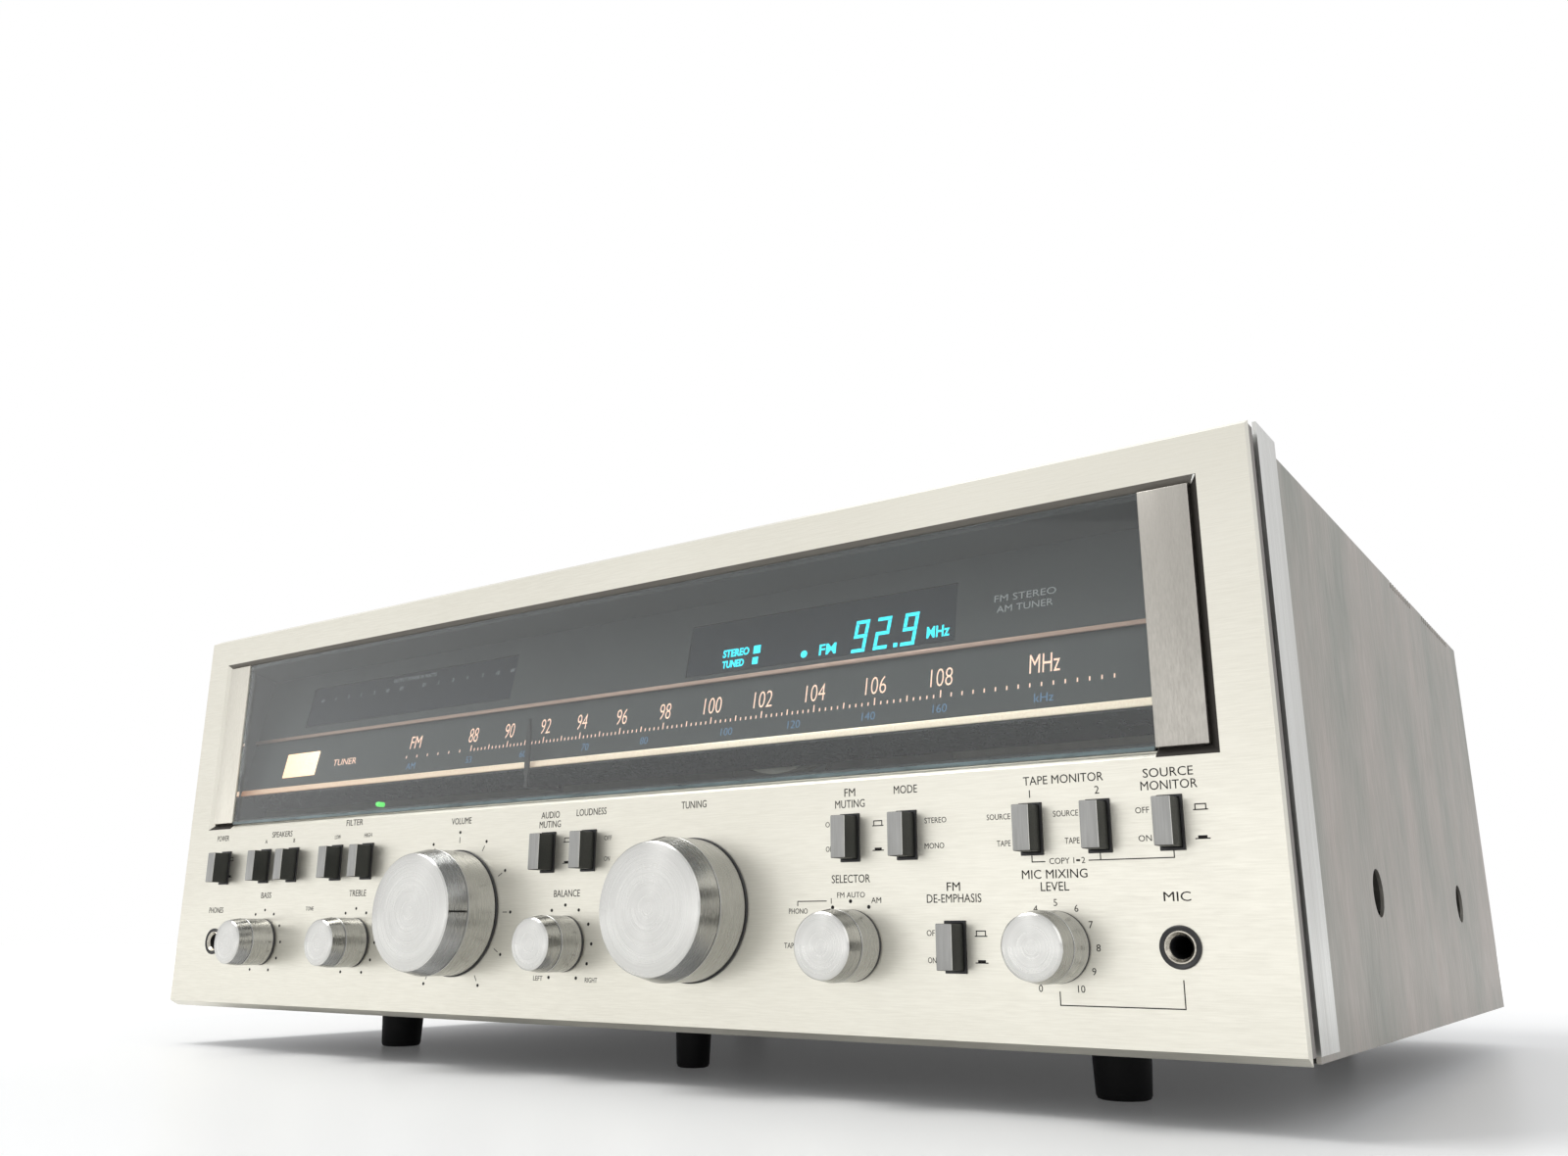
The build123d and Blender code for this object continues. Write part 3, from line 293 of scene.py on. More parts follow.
@dataclass(frozen=True)
class Glass:
    """Clear pane that lets the lamps' light through to what is behind it."""

    name: str
    colour: str
    roughness: float
    film_roughness: float = 0.03

    def material(self) -> bpy.types.Material:
        """Gives the pane's material, built the first time it is asked for."""
        return bpy.data.materials.get(self.name) or self.build()

    def build(self) -> bpy.types.Material:
        """Builds the node tree.

        Returns:
            The new material.
        """
        material, tree = blank_material(self.name)
        place = add_node(tree, "ShaderNodeTexCoord")
        haze = add_node(tree, "ShaderNodeTexNoise", {
            "Vector": place.outputs["Object"], "Scale": 9.0, "Detail": 2.0})
        film = add_node(tree, "ShaderNodeMapRange", {
            0: haze.outputs[0], 1: 0.3, 2: 0.7, 3: self.roughness,
            4: self.roughness + self.film_roughness})
        pane = add_node(tree, "ShaderNodeBsdfPrincipled", {
            "Base Color": linear(self.colour), "Roughness": film.outputs[0],
            "IOR": 1.5, "Transmission Weight": 1.0})
        clear = add_node(tree, "ShaderNodeBsdfTransparent")
        path = add_node(tree, "ShaderNodeLightPath")
        mixed = add_node(tree, "ShaderNodeMixShader", {
            0: path.outputs["Is Shadow Ray"], 1: pane.outputs[0], 2: clear.outputs[0]})
        add_node(tree, "ShaderNodeOutputMaterial", {"Surface": mixed.outputs[0]})
        return material


# Fine horizontal brushing on anodised aluminium: pale, warm and softly streaked.
FASCIA = Finish("brushed_anodised_aluminium", "E8E5D9", "D6D2C5", 0.36, 1.0, (7.0, 0.35, 0.35), 0.4,
                (120.0, 60.0, 50.0), 0.25, 0.1, 0.006, 0.25)
# The same metal on the window's bevel, painted dark: painted shade where the bevel turns away from the lamps.
BEVEL_DARK = Finish("shaded_bevel_aluminium", "3D3A36", "312E2B", 0.6, 0.0, (6.0, 0.5, 0.5), 0.4,
                    specular=0.1)
# The bevel's top face, painted grey: painted shade, lighter than the other faces.
BEVEL_GREY = Finish("half_shaded_bevel_aluminium", "77736C", "67635D", 0.55, 0.1, (6.0, 0.5, 0.5), 0.4,
                    specular=0.2)
# Painted highlight: a bright glint painted on the bevel's mitre.
BEVEL_GLINT = Finish("painted_glint_mitre_aluminium", "F6F6F2", "E8E8E2", 0.3, 0.6, (0.5, 0.5, 0.5), 0.3)
# End blocks with a mottled upright grain, painted a shade darker than the panel: the painted shade copy of
# the block metal.
BLOCK = Finish("painted_shade_upright_brushed_aluminium", "B9B5AD", "9F9B94", 0.38, 1.0, (0.45, 0.45, 2.4), 0.5,
               (9.0, 9.0, 60.0), 0.3, 0.12, 0.006, 0.2)
# The left-hand block's copy of the same metal, painted as pale as the panel: painted light where it faces the
# lamps.
BLOCK_PAINTED_LIT = Finish("painted_lit_brushed_aluminium", "E3DFD3", "D2CEC2", 0.38, 1.0, (0.45, 0.45, 2.4), 0.5,
                    (9.0, 9.0, 60.0), 0.3, 0.12, 0.006, 0.2)
# Extruded rail, left as it comes: bright with faint die lines along its length.
RAIL = Finish("extruded_aluminium", "DEDEDA", "B9B7B2", 0.32, 1.0, (0.5, 0.5, 60.0), 0.4,
              (8.0, 8.0, 80.0), 0.3, 0.12, 0.006)
# Duller face of the rail next to the panel.
RAIL_STRIP = Finish("dull_extruded_aluminium", "8A8580", "77726D", 0.45, 0.8, (0.4, 0.4, 50.0), 0.5)
# Dark joint lines of the rail, and painted shade in its groove.
GROOVE_DARK = Finish("dark_joints_and_painted_groove_shade", "2B2623", "211D1B", 0.6, 0.0, (0.5, 0.5, 9.0), 0.5, specular=0.2)
# Zinc-plated steel sheet, dulled: grey with upright pinkish and greenish streaks.
ZINC = Finish("zinc_plated_steel", "B2A9A2", "8F928A", 0.44, 0.85, (0.9, 0.9, 12.0), 0.22,
              (34.0, 30.0, 90.0), 0.7, 0.14, 0.006)
# The same sheet inside the case, painted nearly black: painted shade for the dark inside.
ZINC_INSIDE = Finish("painted_shade_plated_steel", "3B3A38", "2F2E2C", 0.6, 0.3, (14.0, 14.0, 60.0), 0.5,
                     specular=0.2)
# Plated back, less worn than the sides.
REAR_STEEL = Finish("passivated_steel", "ADAAA2", "949289", 0.44, 0.8, (9.0, 9.0, 40.0), 0.4,
                    (60.0, 60.0, 90.0), 0.4, 0.12, 0.02)
# Bright turned steel of shafts and screws.
TURNED_STEEL = Finish("turned_steel", "C4C2BC", "8E8C86", 0.3, 1.0, (0.5, 0.3, 0.5), 0.4)
# Tin-plated switch cans.
TINPLATE = Finish("tinplate", "B9B7B0", "8C8A82", 0.38, 1.0, (3.0, 3.0, 3.0), 0.4)
# Nickel ring of a jack.
NICKEL = Finish("nickel_plate", "C9C4B8", "8F8A80", 0.24, 1.0, (1.2, 0.4, 1.2), 0.35)
# Turned and brushed aluminium knob, clear anodised: skirt in satin grey.
KNOB_SKIRT = Finish("satin_turned_aluminium", "B4B4B2", "A0A09E", 0.27, 1.0, (30.0, 0.4, 30.0), 0.25,
                    (18.0, 6.0, 18.0), 0.25, 0.1, 0.005)
# Face of the knob, cut by a pointed tool: near white with wedge-shaped highlights.
KNOB_FACE = Turned("turned_aluminium_face", "D9D8D4", "C6C5C1", 0.3, 1.0, (900.0, 0.35, 900.0), 0.5,
                   (900.0, 3.0, 900.0), 0.25, 0.12, 0.004, 0.8)
# Satin foil on the button's front.
BUTTON_FACE = Finish("satin_foil", "A7A6A3", "939390", 0.4, 0.6, (0.6, 0.6, 12.0), 0.5,
                     (4.0, 4.0, 14.0), 0.3, 0.1, 0.005)
# Painted highlight: a bright strip painted along the foil's right edge.
BUTTON_EDGE = Finish("painted_highlight_foil_edge", "E2E2DE", "C9C9C5", 0.35, 0.5, (0.5, 0.5, 3.0), 0.5)
# Moulded ABS of the button's sides, painted dark grey: painted shade.
BUTTON_SIDE = Finish("painted_shade_grey_abs", "3A3B37", "2E2F2C", 0.45, 0.0, (0.5, 0.5, 0.5), 0.5, relief_mm=0.004,
                     specular=0.3)
# Moulded black ABS: soft sheen and a fine texture.
BLACK_PLASTIC = Finish("black_abs", "1C1C1D", "2A2A2B", 0.45, 0.0, (0.4, 0.4, 0.4), 0.5,
                       (30.0, 30.0, 30.0), 0.3, 0.1, 0.006)
# Rubber-like feet.
FOOT_RUBBER = Finish("moulded_rubber", "0C0C0D", "171718", 0.6, 0.0, (0.5, 0.5, 0.5), 0.5, specular=0.25)
# White nylon of the drum and pulleys.
NYLON = Finish("white_nylon", "E2DFD3", "CFCBBD", 0.45)
# Waxed dial cord, with the twist of its strands.
CORD = Finish("waxed_cord", "3A342C", "57503F", 0.7, 0.0, (0.9, 0.9, 0.9), 0.7)
# Smoke-grey plastic of the dial box, smooth.
DIAL_GREY = Finish("smoke_grey_abs", "343839", "3E4243", 0.5, 0.0, (0.8, 0.8, 0.8), 0.3,
                   (90.0, 90.0, 40.0), 0.5, 0.08, 0.001, specular=0.3)
# Polished dark strip in front of the cord drive; its dark colour is partly painted shade, standing in for the
# lower trim strip's shadow.
APRON = Finish("polished_dark_abs", "22272B", "2A3034", 0.25, 0.0, (2.0, 2.0, 2.0), 0.3,
               (80.0, 40.0, 40.0), 0.4, 0.08, 0.001)
# Dark filter in front of the fluorescent digits.
DISPLAY_DARK = Finish("display_filter", "1A1F28", "20262F", 0.5, 0.0, (1.0, 1.0, 1.0), 0.3, relief_mm=0.001,
                      specular=0.15)
# Ground edge of the pane, green, with pale glints painted into its colour as painted highlights.
PANE_EDGE = Finish("ground_glass_edge", "4E5A5A", "84979A", 0.3, 0.0, (9.0, 2.0, 1.0), 0.3,
                   (26.0, 9.0, 4.0), 0.45, 0.1, 0.002)
# Black ink, screen-printed: even, with a slightly dry edge.
BLACK_INK = Finish("black_screen_ink", "1B1918", "2A2725", 0.6, 0.0, (0.3, 0.3, 0.3), 0.5,
                   relief_mm=0.002, specular=0.2)
# Dim grey print on the dial, with a faint painted glow for the light of the lamps that it catches.
GREY_INK = Lit("grey_dial_print", "9DA0A2", "8B8E90", 0.6, relief_mm=0.002, glow=0.16, edge_colour="8B8E90")
# Blue print of the second scale, hardly lit.
BLUE_INK = Lit("blue_dial_print", "4C7396", "426684", 0.6, relief_mm=0.002, glow=0.28, edge_colour="3F6281")
# Bars and figures of the power meter, whose lamps are off, with a faint painted glow.
METER_INK = Lit("meter_print_with_painted_glow", "8D9296", "7F8488", 0.6, relief_mm=0.002, glow=0.12,
                edge_colour="7F8488")
# Dial figures lit from behind: cream to salmon.
LIT_FIGURES = Lit("lit_dial_figures", "EBCBB8", "D9A68C", 0.5, glow=0.8, edge_colour="D9B09C")
# Trim strip with painted light: it glows cream, and orange towards its left end where the dial lamp is,
# though the strip is no lamp.
LIT_RAIL = Lit("painted_glow_trim_strip", "E4D9C6", "C9AE98", 0.35, 0.3, glow=0.45, edge_colour="D08048",
               span_mm=(-235.0, 60.0))
# Upper trim strip, only catching light.
COPPER = Finish("coppered_strip", "B79A8C", "9C8073", 0.35, 0.55, (40.0, 0.6, 0.6), 0.4)
# Cyan phosphor of the fluorescent display.
PHOSPHOR = Lit("cyan_phosphor", "1FE3F2", "17C6DA", 0.5, glow=0.95, edge_colour="1BD5EA",
               span_mm=(40.0, 160.0))
# Function lamp behind cream film.
CREAM_LAMP = Lit("cream_film", "FFEBD0", "F2B57A", 0.5, glow=0.9, edge_colour="FFD2A0",
                 span_mm=(-206.0, -178.0))
# Green diode.
GREEN_LAMP = Lit("green_diode", "58E060", "2FB53C", 0.3, glow=1.1, edge_colour="58E060")
# Moulded red ABS of the levers and insulators: saturated, with a soft gloss.
RED_PLASTIC = Finish("red_abs", "A32620", "8B1D18", 0.4, 0.0, (0.5, 0.5, 0.5), 0.5)
# Moulded white ABS of the insulators: warm white with a soft sheen.
WHITE_PLASTIC = Finish("white_abs", "DAD8D0", "C9C7BF", 0.45, 0.0, (0.5, 0.5, 0.5), 0.5)
# Silicon-iron laminations, edge on.
LAMINATIONS = Finish("silicon_iron_laminations", "4A4744", "2E2C2A", 0.5, 0.6, (0.7, 40.0, 40.0), 0.7)
# PVC sleeve shrunk on the capacitors: dark blue and glossy.
SLEEVE = Finish("pvc_sleeve", "2C3A5A", "22304C", 0.35, 0.0, (0.8, 0.8, 30.0), 0.4)
# Black anodised heat sinks.
SINK_BLACK = Finish("black_anodised_aluminium", "222223", "303031", 0.4, 0.7, (0.6, 0.6, 40.0), 0.4)
# Phenolic board with its lacquer.
BOARD = Finish("phenolic_board", "7A5B33", "66492A", 0.45, 0.0, (1.2, 1.2, 1.2), 0.5,
               (12.0, 12.0, 12.0), 0.5)
# Float glass: nearly colourless, it mirrors the room where it is seen at a flat angle.
PANE = Glass("clear_float_glass", "F4F8F6", 0.0)


class Group(Enum):
    """Which finish goes on the CAD nodes that stay in view."""

    FASCIA = (FASCIA, ("front_panel",))
    RAILS = (RAIL, ("end_rails",))
    PLATED = (ZINC, ("side_plate_left", "side_plate_right", "top_cover"))
    # Painted shade: the inside nodes are painted nearly black.
    INSIDE = (ZINC_INSIDE, ("base_pan", "inner_front"))
    BACK = (REAR_STEEL, ("rear_panel",))
    STEEL = (TURNED_STEEL, ("rotary_controls", "tuning_flywheel", "tuning_capacitor"))
    TIN = (TINPLATE, ("switch_bodies",))
    BLACK = (BLACK_PLASTIC, ("button_frames", "dial_pointer", "mains_inlet", "mains_outlets",
                             "output_transistors", "antenna_bar", "antenna_terminals"))
    DIAL = (DIAL_GREY, ("dial_scale_plate",))
    DISPLAYS = (DISPLAY_DARK, ("frequency_display", "power_display"))
    WHEELS = (NYLON, ("dial_drum", "dial_pulley_left", "dial_pulley_right"))
    STRING = (CORD, ("dial_string",))
    IRON = (LAMINATIONS, ("power_transformer",))
    CAPACITORS = (SLEEVE, ("filter_capacitors",))
    SINKS = (SINK_BLACK, ("heat_sinks",))
    BOARDS = (BOARD, ("main_board", "tuner_board", "tone_board"))
    GLASS = (PANE, ("dial_glass",))

    def dress(self, nodes: dict[str, bpy.types.Object]) -> int:
        """Puts the finish on its nodes.

        Args:
            nodes: the frame's CAD nodes by name.

        Returns:
            How many nodes were dressed.
        """
        finish, names = self.value
        for name in names:
            slots = nodes[name].data.materials
            slots.clear()
            slots.append(finish.material())
        return len(names)


# ---- modelling --------------------------------------------------------------------------
class PanelFrame:
    """The front panel's own millimetres, set in the shared frame."""

    LIP_MM = 2.3

    def __init__(self) -> None:
        """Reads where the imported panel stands."""
        low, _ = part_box("front_panel")
        self.origin = Vector((0.0, low.y, low.z + self.LIP_MM * MILLIMETRE))

    def matrix(self) -> Matrix:
        """Gives the change from the panel's millimetres to the frame's metres."""
        return Matrix.Translation(self.origin) @ Matrix.Scale(MILLIMETRE, 4)

    def box_mm(self, node: str) -> tuple[Vector, Vector]:
        """Gives a CAD node's corners in the panel's millimetres.

        Args:
            node: the CAD node's name.

        Returns:
            Lowest and highest corner.
        """
        low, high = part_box(node)
        return (low - self.origin) / MILLIMETRE, (high - self.origin) / MILLIMETRE

    def middle(self, node: str) -> tuple[float, float, float]:
        """Gives where a CAD node's middle is, across and up, and half its width."""
        low, high = self.box_mm(node)
        return (low.x + high.x) / 2, (low.z + high.z) / 2, (high.x - low.x) / 2


class Piece:
    """One mesh being modelled in the panel's millimetres."""

    UV = "turn_and_radius"

    def __init__(self, name: str, *finishes: Finish) -> None:
        """Starts an empty piece.

        Args:
            name: the piece's name.
            finishes: its finishes, in the order that the shapes number them.
        """
        self.name = name
        self.finishes = finishes
        self.mesh = bmesh.new()

    def _mark(self, verts: list[bmesh.types.BMVert], finish: int) -> None:
        """Gives the faces of new vertices their finish."""
        for vert in verts:
            for face in vert.link_faces:
                face.material_index = finish

    def block(self, x: tuple[float, float], y: tuple[float, float], z: tuple[float, float],
              finish: int = 0, edge: float = 0.0, segments: int = 2) -> list[bmesh.types.BMVert]:
        """Adds a block between two corners.

        Args:
            x: left and right.
            y: front and back.
            z: bottom and top.
            finish: which of the piece's finishes it has.
            edge: width of the rounded edges, 0 for sharp ones.
            segments: faces across a rounded edge.

        Returns:
            The block's vertices.
        """
        size = Vector((x[1] - x[0], y[1] - y[0], z[1] - z[0]))
        middle = Vector((x[0] + x[1], y[0] + y[1], z[0] + z[1])) / 2
        matrix = Matrix.Translation(middle) @ Matrix.Diagonal((*size, 1.0))
        verts = bmesh.ops.create_cube(self.mesh, size=1.0, matrix=matrix)["verts"]
        self._mark(verts, finish)
        if edge:
            edges = list({e for v in verts for e in v.link_edges})
            verts = bmesh.ops.bevel(self.mesh, geom=edges, offset=edge, offset_type="OFFSET",
                                    segments=segments, profile=0.5, affect="EDGES", material=-1)["verts"]
        return verts

    def facet(self, corners: list[tuple[float, float, float]], rise: tuple[float, float, float],
              finish: int = 0) -> None:
        """Adds a thin flat plate.

        Args:
            corners: its outline, in order.
            rise: from the outline to the plate's other face.
            finish: which of the piece's finishes it has.
        """
        verts = [self.mesh.verts.new(corner) for corner in corners]
        face = self.mesh.faces.new(verts)
        raised = bmesh.ops.extrude_face_region(self.mesh, geom=[face])["geom"]
        top = [item for item in raised if isinstance(item, bmesh.types.BMVert)]
        bmesh.ops.translate(self.mesh, verts=top, vec=rise)
        self._mark(top, finish)

    def turn(self, x: float, z: float, profile: list[tuple[float, float]], finish: int = 0,
             segments: int = 64) -> list[bmesh.types.BMVert]:
        """Adds a shape turned about an axis that runs from front to back.

        Args:
            x: the axis's place across the panel.
            z: the axis's height.
            profile: closed or open half section, as (radius, y).
            finish: which of the piece's finishes it has.
            segments: steps round the axis.

        Returns:
            The turned shape's vertices.
        """
        verts = [self.mesh.verts.new((x + radius, y, z)) for radius, y in profile]
        edges = [self.mesh.edges.new(pair) for pair in zip(verts, verts[1:])]
        if profile[0][0] > 0 and profile[-1][0] > 0:
            edges.append(self.mesh.edges.new((verts[-1], verts[0])))
        before = set(self.mesh.faces)
        bmesh.ops.spin(self.mesh, geom=verts + edges, cent=(x, 0, z), axis=(0, 1, 0),
                       angle=math.tau, steps=segments, use_merge=True)
        made = [f for f in self.mesh.faces if f not in before]
        for face in made:
            face.material_index = finish
        own = list({v for f in made for v in f.verts})
        bmesh.ops.remove_doubles(self.mesh, verts=own, dist=0.0005)
        made = [f for f in self.mesh.faces if f not in before]
        self._wrap(made, x, z)
        return list({v for f in made for v in f.verts})

    def _wrap(self, faces: list[bmesh.types.BMFace], x: float, z: float) -> None:
        """Stores the turn and the radius on turned faces."""
        layer = self.mesh.loops.layers.uv.get(self.UV) or self.mesh.loops.layers.uv.new(self.UV)
        for face in faces:
            centre = face.calc_center_median()
            base = math.atan2(centre.z - z, centre.x - x)
            for loop in face.loops:
                dx = loop.vert.co.x - x
                dz = loop.vert.co.z - z
                radius = math.hypot(dx, dz)
                swing = math.atan2(dz, dx) - base if radius > 0.001 else 0.0
                swing = (swing + math.pi) % math.tau - math.pi
                loop[layer].uv = ((base + swing) / math.tau, radius * MILLIMETRE)

    def words(self, text: str, x: float, z: float, height: float, width: float = 0.0,
              depth: float = 0.04, y: float = 0.0, thin: float = 0.004, back: bool = False) -> None:
        """Adds raised lettering, centred on a point.

        Args:
            text: what it says.
            x: middle, across the panel.
            z: middle, up the panel.
            height: height of its capitals.
            width: width of the line, or 0 to keep the letters' own shape.
            depth: how far it stands out.
            y: the surface it stands on.
            thin: how much the strokes are thinned, as a share of the letters' size; less than 0
                thickens them.
            back: reads from behind the receiver when true.
        """
        curve = bpy.data.curves.new("lettering", "FONT")
        curve.body = text
        curve.align_x = "CENTER"
        curve.resolution_u = 3
        curve.offset = -thin
        curve.extrude = 0.5
        holder = bpy.data.objects.new("lettering", curve)
        flat = bpy.data.meshes.new_from_object(holder)
        bpy.data.objects.remove(holder)
        bpy.data.curves.remove(curve)
        corners = [v.co for v in flat.vertices]
        low = Vector((min(c.x for c in corners), min(c.y for c in corners)))
        high = Vector((max(c.x for c in corners), max(c.y for c in corners)))
        tall = height / (high.y - low.y)
        wide = width / (high.x - low.x) if width else tall
        side = -1.0 if back else 1.0
        centred = Matrix.Translation((-(low.x + high.x) / 2, -(low.y + high.y) / 2, 0))
        upright = Matrix(((side * wide, 0, 0, x), (0, 0, -side * depth, y - side * depth / 2),
                          (0, tall, 0, z), (0, 0, 0, 1)))
        flat.transform(upright @ centred)
        self.mesh.from_mesh(flat)
        bpy.data.meshes.remove(flat)

    def lean(self, foot_z: float, foot_y: float, slope: float) -> None:
        """Slides the whole piece back with height, onto a leaning plate.

        Args:
            foot_z: height at which y is foot_y.
            foot_y: where the plate's face is at that height.
            slope: how far back it goes for each millimetre up.
        """
        for vert in self.mesh.verts:
            vert.co.y += foot_y + (vert.co.z - foot_z) * slope

    def make(self, frame: PanelFrame, body: str, slot: str, *replaced: str) -> bpy.types.Object:
        """Finishes the mesh and hands it to the frame.

        Args:
            frame: turns millimetres into the frame's metres.
            body: the CAD body that it rides on.
            slot: the record's material slot that it belongs to; not used.
            replaced: CAD nodes that it stands for.

        Returns:
            The new object.
        """
        bmesh.ops.remove_doubles(self.mesh, verts=self.mesh.verts[:], dist=0.0005)
        bmesh.ops.dissolve_degenerate(self.mesh, dist=0.0001, edges=self.mesh.edges[:])
        bmesh.ops.recalc_face_normals(self.mesh, faces=self.mesh.faces[:])
        bmesh.ops.transform(self.mesh, matrix=frame.matrix(), verts=self.mesh.verts[:])
        for face in self.mesh.faces:
            face.smooth = True
        for edge in self.mesh.edges:
            edge.smooth = len(edge.link_faces) == 2 and edge.calc_face_angle(math.pi) < SHARP_ANGLE
        data = bpy.data.meshes.new(self.name)
        self.mesh.to_mesh(data)
        self.mesh.free()
        for finish in self.finishes:
            data.materials.append(finish.material())
        made = bpy.data.objects.new(self.name, data)
        bpy.context.scene.collection.objects.link(made)
        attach(made, body)
        if replaced:
            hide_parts(*replaced)
        log.info("%s: %d faces on %s", self.name, len(data.polygons), body)
        return made


# ---- front controls ---------------------------------------------------------------------
@dataclass
class Knobs:
    """Turned aluminium knobs, each with its shaft, index line and a black ring at the panel that is painted
    shadow.
    """

    frame: PanelFrame
    gap: float = 0.8
    groove_share: float = 0.6
    groove: float = 0.5
    chamfer: float = 0.6
    face_share: float = 0.92
    dish: float = 0.08
    shaft_radius: float = 3.0
    ring_width: float = 1.2
    ring_out: float = 0.5
    small_ring_out: float = 0.05
    large: float = 18.0
    index_width: float = 0.7
    segments: int = 112
    # Name of the knob to the angle of its index line, clockwise from the top.
    indexes: dict[str, float] = field(default_factory=lambda: {
        "bass": 0.0, "treble": 0.0, "balance": 0.0, "selector": 0.0, "mic_level": -150.0,
        "volume": 90.0, "tuning": 0.0})

    def profile(self, skirt: float, face: float, reach: float) -> list[tuple[float, float]]:
        """Half section of the skirt, from the panel forward to the face's edge."""
        groove_y = -self.gap - (reach - self.gap) * self.groove_share
        return [(self.shaft_radius, -self.gap), (skirt - 0.25, -self.gap), (skirt, -self.gap - 0.25),
                (skirt, groove_y + 0.12), (skirt - 0.12, groove_y), (skirt - self.groove, groove_y),
                (skirt - self.groove, groove_y - self.groove), (skirt - 0.12, groove_y - self.groove),
                (skirt, groove_y - self.groove - 0.12), (face, -reach + self.chamfer)]

    def build(self) -> None:
        """Models every knob and the black rings behind them, which are painted shadow."""
        rings = Piece("knob_painted_shadow_rings", BLACK_PLASTIC)
        for short, angle in self.indexes.items():
            node = f"knob_{short}"
            low, high = self.frame.box_mm(node)
            x, z, skirt = self.frame.middle(node)
            reach = -low.y
            face = skirt * self.face_share
            knob = Piece(f"{node}_turned", KNOB_SKIRT, KNOB_FACE, TURNED_STEEL, BLACK_INK)
            knob.turn(x, z, self.profile(skirt, face, reach), 0, self.segments)
            rim = face - self.chamfer
            dish = -reach + self.dish
            knob.turn(x, z, [(face, -reach + self.chamfer), (rim + 0.1, -reach + 0.05), (rim, -reach),
                             (rim * 0.66, dish - 0.02), (rim * 0.33, dish), (0.0, dish)], 1, self.segments)
            if high.y > 1:
                knob.turn(x, z, [(0.0, -self.gap), (self.shaft_radius, -self.gap),
                                 (self.shaft_radius, high.y), (0.0, high.y)], 2, 32)
            self.index(knob, x, z, skirt, face, reach, angle)
            body = "tuning_control" if short == "tuning" else node
            knob.make(self.frame, body, "knob_aluminium", node)
            # Painted shadow: a black ring where the gap at each knob's foot is in shade, wider for the large
            # knobs.
            out = skirt + (self.ring_out if skirt > self.large else self.small_ring_out)
            inner, front = skirt - self.ring_width, -self.gap + 0.1
            rings.turn(x, z, [(inner, front), (out - 0.2, front), (out, front + 0.2), (out, 0.0),
                              (inner, 0.0)], 0, self.segments)
        rings.make(self.frame, "chassis", "black_plastic")

    def index(self, knob: Piece, x: float, z: float, skirt: float, face: float, reach: float,
              angle: float) -> None:
        """Lays the index line along the skirt.

        Args:
            knob: the piece to add to.
            x: the axis's place.
            z: the axis's height.
            skirt: the skirt's radius.
            face: the face's radius.
            reach: the knob's length.
            angle: clockwise from the top, in degrees.
        """
        half = self.index_width / 2
        groove_y = -self.gap - (reach - self.gap) * self.groove_share - self.groove - 0.3
        front = -reach + self.chamfer
        added = knob.block((-half, half), (front + 0.3, groove_y), (face - 0.6, face + 0.04), 3)
        for vert in added:
            vert.co.z += (vert.co.y - front) / (groove_y - front) * (skirt - face)
        spin = Matrix.Rotation(math.radians(angle), 4, "Y")
        bmesh.ops.transform(knob.mesh, matrix=Matrix.Translation((x, 0, z)) @ spin, verts=added)


@dataclass
class Buttons:
    """Push buttons: a satin foil front with a painted highlight on its right edge, on a cap painted dark grey
    as painted shade, and the stem behind it.
    """

    frame: PanelFrame
    names: tuple[str, ...]
    width: float = 5.4
    height: float = 13.6
    tail: float = 12.0
    edge: float = 0.3
    foil: float = 0.35
    foil_inset: float = 0.12
    stem: tuple[float, float] = (3.0, 4.0)

    def build(self) -> None:
        """Models every button."""
        for name in self.names:
            low, high = self.frame.box_mm(name)
            x, z, _ = self.frame.middle(name)
            cap = Piece(f"{name}_cap", BUTTON_SIDE, BUTTON_FACE, BUTTON_EDGE)
            cap.block((x - self.width / 2, x + self.width / 2), (low.y + 0.05, self.tail),
                      (z - self.height / 2, z + self.height / 2), 0, self.edge, 3)
            foil_w = self.width / 2 - self.foil_inset
            foil_h = self.height / 2 - self.foil_inset
            cap.block((x - foil_w, x + foil_w), (low.y, low.y + self.foil), (z - foil_h, z + foil_h), 1,
                      0.12, 2)
            # Painted highlight along the foil's right edge.
            cap.block((x + foil_w - 0.02, x + foil_w + 0.1), (low.y + 0.04, low.y + 0.4),
                      (z - foil_h + 0.1, z + foil_h - 0.1), 2)
            cap.block((x - self.stem[0] / 2, x + self.stem[0] / 2), (self.tail, high.y),
                      (z - self.stem[1] / 2, z + self.stem[1] / 2))
            cap.make(self.frame, name, "button_plastic", name)


